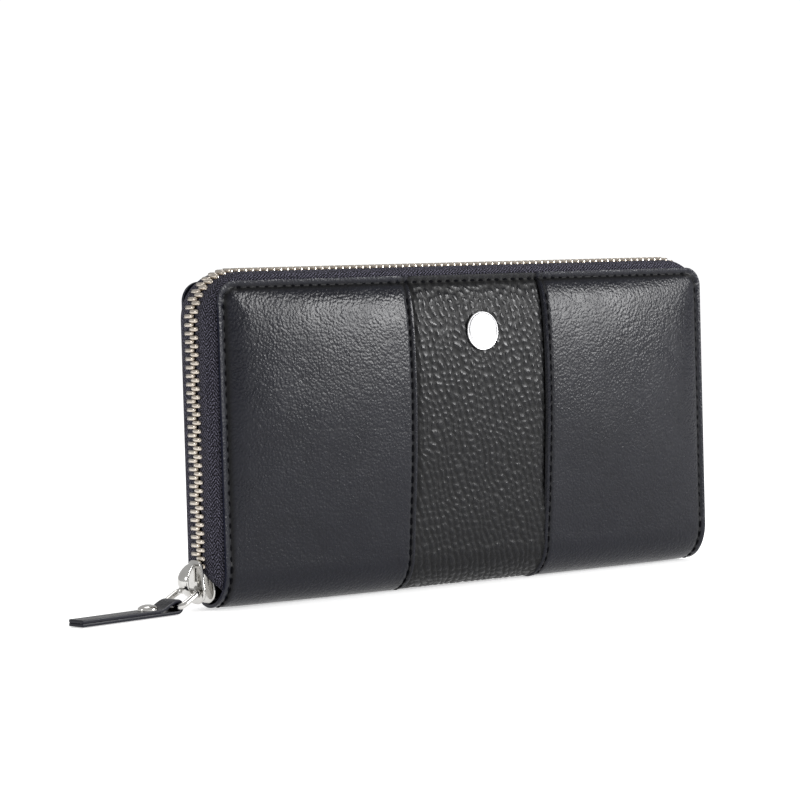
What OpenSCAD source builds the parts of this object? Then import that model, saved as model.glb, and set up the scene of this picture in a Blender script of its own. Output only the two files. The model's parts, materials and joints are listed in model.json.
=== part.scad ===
// Zip-around wallet: a padded leather cover that folds round a soft spine, closed on
// three sides by a metal zip, with card slots, folding gussets and a zipped coin pocket.
// It stands on its spine: X runs along the width, Y through the thickness, Z up.

/* [Cover] */
// Width of the leather cover
cover_w = 187.6; // [170:0.2:210]
// Height of the leather cover, standing on its spine
cover_h = 97; // [90:1:110]
// Half the thickness of the closed wallet at its sewn edge
edge_y = 10; // [9.6:0.1:12]
// How far the padding domes each face past the sewn edge
dome = 3.9; // [2.5:0.1:5]
// Thickness of the outer leather
leather_t = 1; // [0.8:0.1:1.2]
// Radius of the cover's upper corners
corner_r = 6; // [4:0.5:8]
// Width of the grained band in the middle of the cover
band_w = 51; // [30:1:70]
// Half the width of the flat strip that the spine stands on
foot_y = 5.6; // [5.5:0.1:6]

/* [Zip] */
// Distance between two teeth of one row
pitch = 2.5; // [2.4:0.05:3]
// Length of a tooth along the zip
tooth_l = 1.1; // [0.9:0.05:1.15]
// Radius of the chain's middle plane at the upper corners
chain_r = 14; // [13:0.5:16]
// How far the chain's middle plane stands off the cover's edge
chain_out = 2.6; // [2.4:0.1:3.2]
// Thickness of the woven tape
tape_t = 0.7; // [0.5:0.05:0.8]

/* [Pull] */
// Sideways turn of the pull, about the vertical, in degrees
pull_yaw = 9.6; // [0:0.2:10]
// Distance between the link's two bars
link_l = 8; // [7.5:0.5:9]
// Length of the leather tab from the link's bar to its tip
tab_l = 36; // [25:1:45]
// Width of the leather tab
tab_w = 6.4; // [5:0.2:6.4]

/* [Coin pocket] */
// Height of the coin pocket's mouth
pocket_z = 70; // [60:1:72]
// Half the width inside the coin pocket
pocket_y = 2.1; // [2.05:0.05:2.2]

/* [Hidden] */
$fn = 48;

// The wallet opens about this line, in the middle of the soft spine.
hinge_z = 12;
// Height at which the soft spine gives way to the padded covers.
spine_z = 13;
// Height of the thickest place of each face, and the half thickness at the top edge.
crown_z = 65;
top_y = edge_y + 0.2;
spine_top_y = edge_y + 0.6;
// The dome runs out over this distance at the two ends of the cover.
dome_flat_x = 40;
// Steps along each curved stretch of an outline.
steps = 5;
slack = 0.05;

// Layers of each cover, as distances from the middle plane, from outside to inside.
padding_y = 9.9;
board_out_y = 9.8;
board_in_y = 8.8;
lining_out_y = 8.65;
lining_in_y = 8.4;
slots_in_y = 7.2;
slot_w = 68;
slot_h = 62;
slot_drop = 11;
slot_count = 4;
inside_z = 18;
gusset_h = 70;
board_x = 88;
board_z0 = 16;
board_z1 = 93;
lining_in = 0.8;
lining_r = chain_r - chain_out - lining_in;

// Zip path: centre of the corner arcs, and where the chain starts above the spine.
path_x = cover_w / 2 + chain_out - chain_r;
path_z = cover_h + chain_out - chain_r;
tape_z0 = hinge_z + 0.2;
chain_z0 = 14.6;
side_l = path_z - chain_z0;
bend_l = chain_r * PI / 2;
top_l = 2 * path_x;
chain_l = 2 * side_l + 2 * bend_l + top_l;
tooth_count = floor((chain_l - pitch / 2) / pitch);
lane = 0.55;
tooth_reach = 3.2;
tooth_half_t = 1.2;

// Slider, in its own frame: X outwards, Y across, Z towards its narrow end.
slider_z = 2.2;
slider_gap = 1.35;
plate_t = 0.8;
plate_out = slider_gap + plate_t;
eye_x = 4.2;
eye_z = 4;
eye_r = 1.2;
crown_rise = 4.7;
spring_x = plate_out + 0.45;
bar_r = 0.75;
arm_y = 4.4;
arm_r = 0.8;
link_drop = 27.6;
loop_r = 2.2;
loop_hole_r = 1;
rivet_x = -9.1;
rivet_foot_r = 2.4;
rivet_foot_t = 0.3;

// Coin pocket.
pocket_t = 0.5;
pocket_x = 90;
pocket_out_y = pocket_y + pocket_t;
coin_tape_t = 0.4;
coin_scale = 0.62;
coin_chain_l = 150;
coin_chain_z = pocket_z + 1.2;
coin_pitch = 2.1;
coin_slider_x = 68;
mouth_y = 3.3;
mouth_z = pocket_z - 0.6;
flare_z = pocket_z - 5;

// Badge.
badge_r = 6;
badge_x = 0.6;
badge_z = 79.4;
badge_t = 1.1;
pin_x = 3;
pin_r = 0.5;
pin_l = 2.4;

leather = "#26282d";
grained = "#1f2126";
navy = "#23243a";
metal = "#d8d4cc";

// ---- outlines -------------------------------------------------------------------

// Half thickness of the cover at height z: soft spine, lower face, upper face.
function face_y(z) =
    z < spine_z ? foot_y + (spine_top_y - foot_y) * sqrt(1 - pow((spine_z - z) / spine_z, 2))
    : z < crown_z ? spine_top_y + (edge_y + dome - spine_top_y)
        * cos(90 * (crown_z - z) / (crown_z - spine_z))
    : top_y + (edge_y + dome - top_y) * sqrt(1 - pow((z - crown_z) / (cover_h - crown_z), 2));

// Half thickness at distance x from the middle of the width.
function end_y(x) =
    x <= dome_flat_x ? edge_y + dome
    : edge_y + dome * sqrt(max(0, 1 - pow((x - dome_flat_x) / (cover_w / 2 - dome_flat_x), 2)));

// Heights of the outline's points, closer together where it turns.
side_heights = concat(
    [for (i = [0 : steps]) spine_z * (1 - cos(90 * i / steps))],
    [for (i = [1 : steps]) spine_z + (crown_z - spine_z) * i / steps],
    [for (i = [1 : steps]) crown_z + (cover_h - crown_z) * sin(90 * i / steps)]
);
end_places = concat([0], [for (i = [0 : steps])
    dome_flat_x + (cover_w / 2 - dome_flat_x) * sin(90 * i / steps)]);

// Closed outline in Y and Z of the whole cover, taken in by t all round but open upwards.
module side_outline(t) {
    half = [for (z = side_heights) [face_y(z) - t, z == 0 ? t : z]];
    lift = t > 0 ? [[top_y - t, cover_h + 1]] : [];
    right = concat(half, lift);
    left = [for (i = [len(right) - 1 : -1 : 0]) [-right[i][0], right[i][1]]];
    polygon(concat(right, left));
}

// Closed outline in X and Y of the whole cover, taken in by t but open at its two ends.
module end_outline(t) {
    half = [for (x = end_places) [x, end_y(x) - t]];
    lift = t > 0 ? [[cover_w / 2 + 1, edge_y - t]] : [];
    q = concat(half, lift);
    n = len(q) - 1;
    polygon(concat(
        [for (i = [0 : n]) q[i]],
        [for (i = [n : -1 : 0]) [q[i][0], -q[i][1]]],
        [for (i = [1 : n]) [-q[i][0], -q[i][1]]],
        [for (i = [n : -1 : 1]) [-q[i][0], q[i][1]]]
    ));
}

// Front view of a sheet with round upper corners, as a slab between y0 and y1.
module slab(half_x, z0, z1, r, y0, y1) {
    translate([0, y1, 0]) rotate([90, 0, 0]) linear_extrude(y1 - y0) union() {
        translate([-half_x, z0]) square([2 * half_x, z1 - z0 - r]);
        translate([-half_x + r, z0]) square([2 * (half_x - r), z1 - z0]);
        for (s = [-1, 1]) translate([s * (half_x - r), z1 - r]) circle(r);
    }
}

// The cover as one solid, or, with t, the space inside leather of that thickness.
module cover_solid(t) {
    reach = t > 0 ? cover_w + 2 : cover_w;
    intersection() {
        rotate([90, 0, 90]) linear_extrude(reach, center = true) side_outline(t);
        linear_extrude(cover_h + 2) end_outline(t);
    }
}

module leather_shell() {
    difference() {
        intersection() {
            cover_solid(0);
            slab(cover_w / 2, 0, cover_h, corner_r, -20, 20);
        }
        cover_solid(leather_t);
    }
}

// ---- outer leather --------------------------------------------------------------

// One panel of the cover: part is -1 for the front, 0 for the spine and 1 for the rear.
module panel(x0, x1, part) {
    intersection() {
        leather_shell();
        if (part == 0)
            translate([x0, -20, 0]) cube([x1 - x0, 40, spine_z]);
        else
            translate([x0, part < 0 ? -20 : 0, spine_z]) cube([x1 - x0, 20, cover_h]);
    }
}

module side_panel(side, part) {
    color(leather) panel(side < 0 ? -cover_w / 2 : band_w / 2, side < 0 ? -band_w / 2 : cover_w / 2, part);
}

module centre_band(part) {
    color(grained) difference() {
        panel(-band_w / 2, band_w / 2, part);
        if (part < 0) pins(pin_r + 2 * slack);
    }
}

// ---- layers inside each cover; side is -1 in front and 1 at the rear ---------------

module between(side, y0, y1, half_x, z0, z1, r) {
    slab(half_x, z0, z1, r, side < 0 ? -y1 : y0, side < 0 ? -y0 : y1);
}

module padding(side) {
    color("#8f8f8a") difference() {
        intersection() {
            cover_solid(leather_t + slack);
            between(side, padding_y, 20, board_x, board_z0, board_z1, corner_r);
        }
        if (side < 0) pins(pin_r + 2 * slack);
    }
}

module board(side) {
    color("#b7a98c") between(side, board_in_y, board_out_y, board_x, board_z0, board_z1, corner_r);
}

module lining(side) {
    color(navy) between(side, lining_in_y, lining_out_y, cover_w / 2 - lining_in, spine_z + 1,
        cover_h - lining_in, lining_r);
}

// Soft lining along the spine, inside the leather.
module spine_lining() {
    color(navy) translate([-board_x, -foot_y, leather_t + slack]) cube([2 * board_x, 2 * foot_y, 0.4]);
}

// Four stepped card pockets on one half of a cover's inner face.
module card_slots(side, half) {
    strip_t = (lining_in_y - slots_in_y - slack) / slot_count;
    color(leather) for (i = [0 : slot_count - 1])
        translate([half < 0 ? -slot_w - 2 : 2,
                side < 0 ? -lining_in_y + slack + i * strip_t : lining_in_y - slack - (i + 1) * strip_t,
                inside_z])
            cube([slot_w, strip_t, slot_h - slot_drop * i]);
}

// A gusset folds inwards between a cover and the coin pocket, at one end of the wallet.
module gusset(side, half) {
    cloth = 0.4;
    out_x = 90.5;
    fold_x = 75;
    out_y = lining_in_y - slack;
    in_y = mouth_y + pocket_t + slack;
    mid_y = (out_y + in_y) / 2;
    color(navy) translate([0, 0, inside_z]) scale([half, side, 1])
        linear_extrude(gusset_h) polygon([
            [out_x, out_y], [fold_x + 1, mid_y + cloth], [fold_x, mid_y], [fold_x + 1, mid_y - cloth],
            [out_x, in_y], [out_x, in_y + cloth], [fold_x + 1 + cloth, mid_y], [out_x, out_y - cloth]
        ]);
}

// ---- zip ------------------------------------------------------------------------

// Places children at distance s along the zip: their X points outwards and Z along it.
module at_station(s) {
    a = s - side_l;
    b = a - bend_l;
    c = b - top_l;
    d = c - bend_l;
    if (s < side_l) translate([-path_x, 0, chain_z0 + s]) rotate([0, 180, 0]) children();
    else if (a < bend_l) translate([-path_x, 0, path_z]) rotate([0, 180 + 90 * a / bend_l, 0]) children();
    else if (b < top_l) translate([-path_x + b, 0, path_z]) rotate([0, 270, 0]) children();
    else if (c < bend_l) translate([path_x, 0, path_z]) rotate([0, 270 + 90 * c / bend_l, 0]) children();
    else translate([path_x, 0, path_z - d]) rotate([0, 0, 0]) children();
}

// Sweeps a flat outline, X outwards from the corner centres, round the zip's path.
module sweep() {
    straight = path_z - tape_z0;
    union() {
        translate([-path_x, 0, path_z]) rotate([0, 180, 0]) linear_extrude(straight) children();
        translate([-path_x, 0, path_z]) rotate([-90, 0, 0]) rotate([0, 0, 180])
            rotate_extrude(angle = 90) children();
        translate([0, 0, path_z]) rotate([0, -90, 0]) linear_extrude(top_l, center = true) children();
        translate([path_x, 0, path_z]) rotate([-90, 0, 0]) rotate([0, 0, -90])
            rotate_extrude(angle = 90) children();
        translate([path_x, 0, tape_z0]) linear_extrude(straight) children();
    }
}

// The tape's section: sewn flat under the cover's edge, then round to the chain.
module tape_section(side) {
    edge_r = chain_r - chain_out;
    h = tape_t / 2;
    scale([1, side]) polygon([
        [edge_r - 3.6, edge_y - leather_t - slack], [edge_r + 0.2, edge_y - leather_t - slack],
        [edge_r + 1.6, 8.2], [chain_r + h - 0.3, 6.8], [chain_r + h, 5.3], [chain_r + h, 1.5],
        [chain_r - h, 1.5], [chain_r - h, 5.2], [chain_r - h - 0.2, 6.3], [edge_r + 1, 7.6],
        [edge_r - 0.2, lining_out_y + slack], [edge_r - 3.6, lining_out_y + slack]
    ]);
}

module tape(side) {
    color(navy) sweep() tape_section(side);
}

// A tooth grips the tape's edge with two legs; its head stops short of the middle lane,
// so that the slider's wedge can pass and the covers can swing apart.
module tooth(side, h) {
    leg_end = 1.5 - slack;
    translate([0, 0, -tooth_l / 2]) linear_extrude(tooth_l) scale([1, side]) polygon([
        [-h, lane + 0.35], [-h + 0.35, lane], [h - 0.35, lane], [h, lane + 0.35],
        [h, tooth_reach], [tape_t / 2 + slack, tooth_reach], [tape_t / 2 + slack, leg_end],
        [-tape_t / 2 - slack, leg_end], [-tape_t / 2 - slack, tooth_reach], [-h, tooth_reach]
    ]);
}

module teeth(side) {
    color(metal) for (i = [0 : tooth_count - 1])
        at_station(pitch * (i + (side < 0 ? 0.25 : 0.75)) + 0.4)
            translate([chain_r, 0, 0]) tooth(side, tooth_half_t);
}

// Metal stops clamped on the tape below the first and the last tooth.
module stops(side) {
    color(metal) for (end = [-1, 1])
        translate([end * (path_x + chain_r), 0, chain_z0 - 1.2])
            rotate([0, end < 0 ? 180 : 0, 0]) tooth(side, 1.1);
}

// ---- slider and pull --------------------------------------------------------------

// The slider's outline from outside: a shield, wide where the two rows part.
module shield() {
    polygon([[-3.2, 0], [3.2, 0], [5, 3.4], [4.3, 9], [4, 13], [-4, 13], [-4.3, 9], [-5, 3.4]]);
}

// Children's X and Y become the slider's Y and Z, and their height its X.
module facing_out(x) {
    translate([x, 0, 0]) rotate([90, 0, 90]) children();
}

module slider_shape() {
    union() {
        facing_out(slider_gap) linear_extrude(plate_t) shield();
        facing_out(-plate_out) linear_extrude(plate_t) shield();
        translate([-slider_gap - slack, -0.4, 1]) cube([2 * slider_gap + 2 * slack, 0.8, 5]);
    }
}

// Domed crown over the slider, with an eye for the link and room for the lock spring.
module crown_shape() {
    wide = 3.4;
    difference() {
        translate([0, wide / 2, 0]) rotate([90, 0, 0]) linear_extrude(wide) polygon(concat(
            [[plate_out, 1.4]],
            [for (i = [0 : 10]) [plate_out + crown_rise * pow(sin(180 * (0.5 + i) / 11), 0.6),
                1.6 + 10.6 * i / 10]],
            [[plate_out, 12.4]]
        ));
        translate([eye_x, 0, eye_z]) rotate([90, 0, 0]) cylinder(r = eye_r, h = 10, center = true);
        translate([spring_x, -1.1, 6.4]) cube([1.6, 2.2, 4.6]);
    }
}

module on_main_chain() {
    translate([-path_x - chain_r, 0, slider_z]) rotate([0, 0, 180]) children();
}

module slider_body() {
    color(metal) on_main_chain() slider_shape();
}

module slider_crown() {
    color(metal) on_main_chain() crown_shape();
}

module slider_spring() {
    color("silver") on_main_chain() translate([spring_x, -0.9, 6.6]) cube([0.4, 1.8, 4.2]);
}

// The pull's own frame: at the eye, turned sideways, with X towards the wallet.
module pull_frame() {
    translate([-path_x - chain_r - eye_x, 0, slider_z + eye_z]) rotate([0, 0, pull_yaw]) children();
}

// Cylinder along Y.
module bar(r, l) {
    rotate([90, 0, 0]) cylinder(r = r, h = l, center = true);
}

// Rectangular link: one bar in the slider's eye, one in the tab, and two flat side arms.
module pull_link() {
    color(metal) pull_frame() rotate([0, -link_drop, 0]) union() {
        for (x = [-link_l, 0]) translate([x, 0, 0]) bar(bar_r, 2 * arm_y);
        for (s = [-1, 1]) translate([0, s * arm_y + arm_r, 0]) rotate([90, 0, 0])
            linear_extrude(2 * arm_r) union() {
                translate([-link_l, -arm_r]) square([link_l, 2 * arm_r]);
                for (x = [-link_l, 0]) translate([x, 0]) circle(arm_r + 0.1);
            }
    }
}

// Frame at the link's outer bar, still level: the tab lies along -X.
module tab_frame() {
    pull_frame() translate([-link_l * cos(link_drop), 0, -link_l * sin(link_drop)]) children();
}

// One leather strip folded round the link's bar and closed on itself.
module tab_leather() {
    color(leather) tab_frame() difference() {
        translate([0, tab_w / 2, 0]) rotate([90, 0, 0]) linear_extrude(tab_w) union() {
            circle(loop_r);
            polygon([[0, loop_r], [-1.6, 1.7], [-3.4, 0.7], [-6, 0],
                [-tab_l, 0], [-tab_l, -loop_r], [0, -loop_r]]);
        }
        bar(loop_hole_r, tab_w + 2);
        translate([rivet_x, 0, -loop_r - 1]) cylinder(r = 1.3, h = 4);
        translate([rivet_x, 0, -loop_r - 1]) cylinder(r = rivet_foot_r + 0.1, h = 1.1 + rivet_foot_t);
    }
}

// Domed rivet through both layers of the tab, with its foot let into the underside.
module tab_rivet() {
    cap_r = 3;
    rise = 1.5;
    color(metal) tab_frame() translate([rivet_x, 0, 0]) rotate_extrude() polygon(concat(
        [[0, -loop_r], [rivet_foot_r, -loop_r], [rivet_foot_r, -loop_r + rivet_foot_t],
            [1.2, -loop_r + rivet_foot_t], [1.2, slack], [cap_r, slack]],
        [for (i = [0 : 6]) [cap_r * cos(15 * i), slack + 0.3 + (rise - 0.3) * sin(15 * i)]]
    ));
}

// ---- badge ----------------------------------------------------------------------

// Plain round plate on the band, square to the face there.
module badge_frame() {
    tilt = atan((face_y(badge_z - 1) - face_y(badge_z + 1)) / 2);
    translate([badge_x, -face_y(badge_z) - 0.1, badge_z]) rotate([90 - tilt, 0, 0]) children();
}

module badge_disc() {
    rim_t = 0.5;
    color("white") badge_frame() rotate_extrude() polygon(concat(
        [[0, 0], [badge_r, 0]],
        [for (i = [0 : 6]) [badge_r * cos(15 * i), rim_t + (badge_t - rim_t) * sin(15 * i)]]
    ));
}

// Two prongs, or with a larger r their holes.
module pins(r) {
    badge_frame() for (s = [-1, 1])
        translate([s * pin_x, 0, -pin_l - (r - pin_r)]) cylinder(r = r, h = pin_l + (r - pin_r));
}

// Two prongs that hold the plate through leather and padding.
module badge_pins() {
    color(metal) pins(pin_r);
}

// ---- coin pocket ------------------------------------------------------------------

// A wall of the pocket: upright, then flared at the mouth so that the slider fits inside.
module pocket_wall(side) {
    top = coin_chain_z - coin_tape_t / 2;
    color(leather) rotate([90, 0, 90]) linear_extrude(2 * pocket_x, center = true)
        scale([side, 1]) polygon([
            [pocket_y, board_z0], [pocket_out_y, board_z0], [pocket_out_y, flare_z],
            [mouth_y + pocket_t, mouth_z - 1], [mouth_y + pocket_t, top],
            [mouth_y, top], [mouth_y, mouth_z - 1], [pocket_y, flare_z + 0.2]
        ]);
}

// Strip that closes the pocket's foot and its two ends.
module pocket_binding() {
    w = 2 * (pocket_y - slack);
    color(navy) translate([0, w / 2, 0]) rotate([90, 0, 0]) linear_extrude(w) difference() {
        translate([-pocket_x, board_z0]) square([2 * pocket_x, flare_z - board_z0]);
        translate([-pocket_x + 1, board_z0 + 1]) square([2 * pocket_x - 2, pocket_z]);
    }
}

// Tongue that ties the pocket to the spine.
module pocket_tongue() {
    foot_z = leather_t + 0.4 + 2 * slack;
    color(navy) translate([-board_x, -0.4, foot_z]) cube([2 * board_x, 0.8, board_z0 - foot_z - slack]);
}

// Chain of the coin pocket: X outwards (up), Y across, Z along the zip.
module on_coin_chain(x) {
    translate([x, 0, coin_chain_z]) rotate([0, -90, 0]) children();
}

module coin_tape(side) {
    tape_y = 1;
    tape_w = mouth_y + pocket_t - tape_y;
    color(navy) translate([-pocket_x, side < 0 ? -tape_y - tape_w : tape_y, coin_chain_z - coin_tape_t / 2])
        cube([2 * pocket_x, tape_w, coin_tape_t]);
}

module coin_teeth(side) {
    count = floor(coin_chain_l / coin_pitch);
    color(metal) for (i = [0 : count - 1])
        on_coin_chain(-coin_chain_l / 2 + coin_pitch * (i + (side < 0 ? 0.25 : 0.75)))
            scale(coin_scale) tooth(side, tooth_half_t);
}

// Stops at both ends of the coin chain.
module coin_stops() {
    color(metal) for (end = [-1, 1]) for (side = [-1, 1])
        on_coin_chain(end * (coin_chain_l / 2 + 1.6)) scale(coin_scale) tooth(side, 1.1);
}

module on_coin_slider() {
    on_coin_chain(coin_slider_x) scale(coin_scale) translate([0, 0, -6.5]) children();
}

module coin_slider_body() {
    color(metal) on_coin_slider() slider_shape();
}

module coin_slider_crown() {
    color(metal) on_coin_slider() crown_shape();
}

// Flat metal pull with a bar through the crown's eye.
module coin_pull() {
    pull_y = 2.9;
    reach = 20;
    color(metal) on_coin_slider() translate([eye_x, 0, eye_z]) union() {
        bar(bar_r, 2 * pull_y);
        for (s = [-1, 1]) translate([-0.6, s * pull_y - 0.8, -6.2]) cube([1.2, 1.6, 7]);
        translate([-0.6, -pull_y - 0.8, -reach]) cube([1.2, 2 * pull_y + 1.6, reach - 6]);
    }
}

// ---- nodes ----------------------------------------------------------------------

side_panel(-1, -1);  // front_left_panel
centre_band(-1);  // front_centre_band
side_panel(1, -1);  // front_right_panel
side_panel(-1, 0);  // spine_left_panel
centre_band(0);  // spine_centre_band
side_panel(1, 0);  // spine_right_panel
side_panel(-1, 1);  // rear_left_panel
centre_band(1);  // rear_centre_band
side_panel(1, 1);  // rear_right_panel
padding(-1);  // front_padding
padding(1);  // rear_padding
board(-1);  // front_board
board(1);  // rear_board
lining(-1);  // front_lining
lining(1);  // rear_lining
spine_lining();
card_slots(-1, -1);  // front_card_slots_left
card_slots(-1, 1);  // front_card_slots_right
card_slots(1, -1);  // rear_card_slots_left
card_slots(1, 1);  // rear_card_slots_right
gusset(-1, -1);  // front_gusset_left
gusset(-1, 1);  // front_gusset_right
gusset(1, -1);  // rear_gusset_left
gusset(1, 1);  // rear_gusset_right
tape(-1);  // front_tape
tape(1);  // rear_tape
teeth(-1);  // front_teeth
teeth(1);  // rear_teeth
stops(-1);  // front_stops
stops(1);  // rear_stops
slider_body();
slider_crown();
slider_spring();
pull_link();
tab_leather();
tab_rivet();
badge_disc();
badge_pins();
pocket_wall(-1);  // coin_pocket_front
pocket_wall(1);  // coin_pocket_rear
pocket_binding();  // coin_pocket_binding
pocket_tongue();
coin_tape(-1);  // coin_tape_front
coin_tape(1);  // coin_tape_rear
coin_teeth(-1);  // coin_teeth_front
coin_teeth(1);  // coin_teeth_rear
coin_stops();
coin_slider_body();
coin_slider_crown();
coin_pull();
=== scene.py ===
"""Looks of a zip-around wallet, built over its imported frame: leather, zip, pull, badge and inside."""

import json
import logging
import math
from dataclasses import dataclass, field
from enum import Enum
from typing import Callable, Iterable, Sequence

import bpy
from mathutils import Matrix, Vector, noise


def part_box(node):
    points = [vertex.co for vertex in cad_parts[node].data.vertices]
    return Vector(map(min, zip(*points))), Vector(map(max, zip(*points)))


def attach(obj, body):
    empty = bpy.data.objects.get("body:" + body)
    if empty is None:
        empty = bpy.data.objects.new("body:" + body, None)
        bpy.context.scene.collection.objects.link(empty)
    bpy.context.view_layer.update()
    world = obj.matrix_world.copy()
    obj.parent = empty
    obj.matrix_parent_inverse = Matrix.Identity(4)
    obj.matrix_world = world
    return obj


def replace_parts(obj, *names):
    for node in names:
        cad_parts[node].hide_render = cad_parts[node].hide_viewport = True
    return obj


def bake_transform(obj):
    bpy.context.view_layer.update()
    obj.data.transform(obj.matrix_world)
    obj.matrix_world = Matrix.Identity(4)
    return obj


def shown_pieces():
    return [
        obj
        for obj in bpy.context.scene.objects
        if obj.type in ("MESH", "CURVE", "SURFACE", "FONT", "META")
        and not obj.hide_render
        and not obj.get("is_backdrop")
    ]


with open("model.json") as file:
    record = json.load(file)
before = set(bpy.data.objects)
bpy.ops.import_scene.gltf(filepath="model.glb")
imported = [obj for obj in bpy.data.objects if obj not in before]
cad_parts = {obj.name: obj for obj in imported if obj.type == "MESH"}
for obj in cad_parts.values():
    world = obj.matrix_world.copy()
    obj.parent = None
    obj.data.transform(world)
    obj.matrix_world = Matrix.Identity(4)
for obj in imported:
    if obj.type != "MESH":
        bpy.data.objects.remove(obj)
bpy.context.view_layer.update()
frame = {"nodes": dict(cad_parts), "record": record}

log = logging.getLogger("wallet")
MM = 0.001
Place = Callable[[float, float], Vector]


class Side(Enum):
    """The two halves of the wallet, as the sign of their Y."""

    FRONT = -1
    REAR = 1

    @property
    def word(self) -> str:
        """The half's name in node names."""
        return self.name.lower()

    @property
    def body(self) -> str:
        """The body that the half belongs to."""
        return f"{self.word}_half"


class End(Enum):
    """The two ends of the wallet, as the sign of their X."""

    LEFT = -1
    RIGHT = 1

    @property
    def word(self) -> str:
        """The end's name in node names."""
        return self.name.lower()


# ---- modelling helpers ----------------------------------------------------------


def deselect() -> None:
    """Leaves nothing selected, as every operator acts on the whole selection."""
    bpy.ops.object.select_all(action="DESELECT")


def pick(obj: bpy.types.Object) -> bpy.types.Object:
    """Makes one object the whole selection and the active one, and returns it.

    Args:
        obj: The mesh object.

    Returns:
        The same object.
    """
    deselect()
    obj.select_set(True)
    bpy.context.view_layer.objects.active = obj
    return obj


def edit(obj: bpy.types.Object, *steps: Callable[[], object]) -> bpy.types.Object:
    """Runs operators in edit mode on everything in a mesh.

    Args:
        obj: The mesh object.
        steps: Operators to call, in order.

    Returns:
        The same object.
    """
    pick(obj)
    bpy.ops.object.mode_set(mode="EDIT")
    bpy.ops.mesh.select_all(action="SELECT")
    for step in steps:
        step()
    bpy.ops.object.mode_set(mode="OBJECT")
    return obj


def modify(obj: bpy.types.Object, kind: str, **settings: object) -> bpy.types.Object:
    """Adds a modifier and applies it.

    Args:
        obj: The mesh object.
        kind: The modifier's type.
        settings: The modifier's values.

    Returns:
        The same object.
    """
    pick(obj)
    mod = obj.modifiers.new(kind.title(), kind)
    for key, value in settings.items():
        setattr(mod, key, value)
    bpy.ops.object.modifier_apply(modifier=mod.name)
    return obj


def smooth(obj: bpy.types.Object, degrees: float = 40) -> bpy.types.Object:
    """Shades a mesh smooth, except over edges sharper than an angle, and returns it.

    Args:
        obj: The mesh object.
        degrees: The angle.

    Returns:
        The same object.
    """
    pick(obj)
    bpy.ops.object.shade_smooth_by_angle(angle=math.radians(degrees))
    return obj


def thicken(obj: bpy.types.Object, thickness: float, offset: float, rim: bool = False) -> bpy.types.Object:
    """Gives a sheet its thickness.

    Args:
        obj: The sheet.
        thickness: The thickness, in the mesh's own units.
        offset: Where the sheet lies in it, from -1 for its outside to 0 for its middle.
        rim: Whether the cut edges take the piece's second material.

    Returns:
        The same object.
    """
    return modify(obj, "SOLIDIFY", thickness=thickness, offset=offset, material_offset_rim=int(rim))


def bevel(obj: bpy.types.Object, width: float, degrees: float) -> bpy.types.Object:
    """Rounds the edges of a mesh that turn by more than an angle.

    Args:
        obj: The mesh object.
        width: Width of the rounding, in the mesh's own units.
        degrees: The angle.

    Returns:
        The same object.
    """
    angle = math.radians(degrees)
    return modify(obj, "BEVEL", width=width, segments=2, limit_method="ANGLE", angle_limit=angle)


def face_out(obj: bpy.types.Object) -> bpy.types.Object:
    """Turns all the faces of a closed mesh outwards."""
    return edit(obj, lambda: bpy.ops.mesh.normals_make_consistent(inside=False))


def to_mm(obj: bpy.types.Object) -> bpy.types.Object:
    """Takes a mesh from metres to millimetres, to be shaped further before it is placed."""
    obj.data.transform(Matrix.Scale(1 / MM, 4))
    return obj


def placed(obj: bpy.types.Object, matrix: Matrix) -> bpy.types.Object:
    """Moves a mesh to its place while its object stays at the origin.

    Args:
        obj: The mesh object, modelled in millimetres.
        matrix: The place, in millimetres.

    Returns:
        The same object, in metres.
    """
    obj.data.transform(Matrix.Scale(MM, 4) @ matrix)
    if matrix.determinant() < 0:
        edit(obj, bpy.ops.mesh.flip_normals)
    return obj


def sheet(name: str, columns: int, rows: int, place: Place, centre: Vector,
          unfold: Callable[[float, float], tuple[float, float]] | None = None,
          tone: Callable[[float, float], float] | None = None) -> bpy.types.Object:
    """A flat grid bent to a shape, with its faces away from a centre.

    Args:
        name: The piece's name.
        columns: Faces along the first direction.
        rows: Faces along the second direction.
        place: Gives a point in millimetres from two shares from 0 to 1.
        centre: A point behind the sheet, in millimetres.
        unfold: Gives the flat position in millimetres, for patterns that follow the sheet.
        tone: Gives how much painted light, above 0, or painted shade, below 0, each place has.

    Returns:
        The piece, in metres.
    """
    deselect()
    bpy.ops.mesh.primitive_grid_add(x_subdivisions=columns, y_subdivisions=rows, size=2)
    obj = bpy.context.object
    obj.name = obj.data.name = name
    mesh = obj.data
    shares = [((v.co.x + 1) / 2, (v.co.y + 1) / 2) for v in mesh.vertices]
    for vertex, (a, b) in zip(mesh.vertices, shares):
        vertex.co = place(a, b) * MM
    if unfold:
        flat = [unfold(a, b) for a, b in shares]
        for loop, uv in zip(mesh.loops, mesh.uv_layers.active.data):
            uv.uv = Vector(flat[loop.vertex_index]) * MM
    # Painted light and shade, kept per point for the finish to scale the colour by.
    if tone:
        layer = mesh.attributes.new("tone", "FLOAT", "POINT")
        layer.data.foreach_set("value", [tone(a, b) for a, b in shares])
    mesh.update()
    outward = sum((p.center - centre * MM).dot(p.normal) * p.area for p in mesh.polygons)
    if outward < 0:
        edit(obj, bpy.ops.mesh.flip_normals)
    return obj


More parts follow.
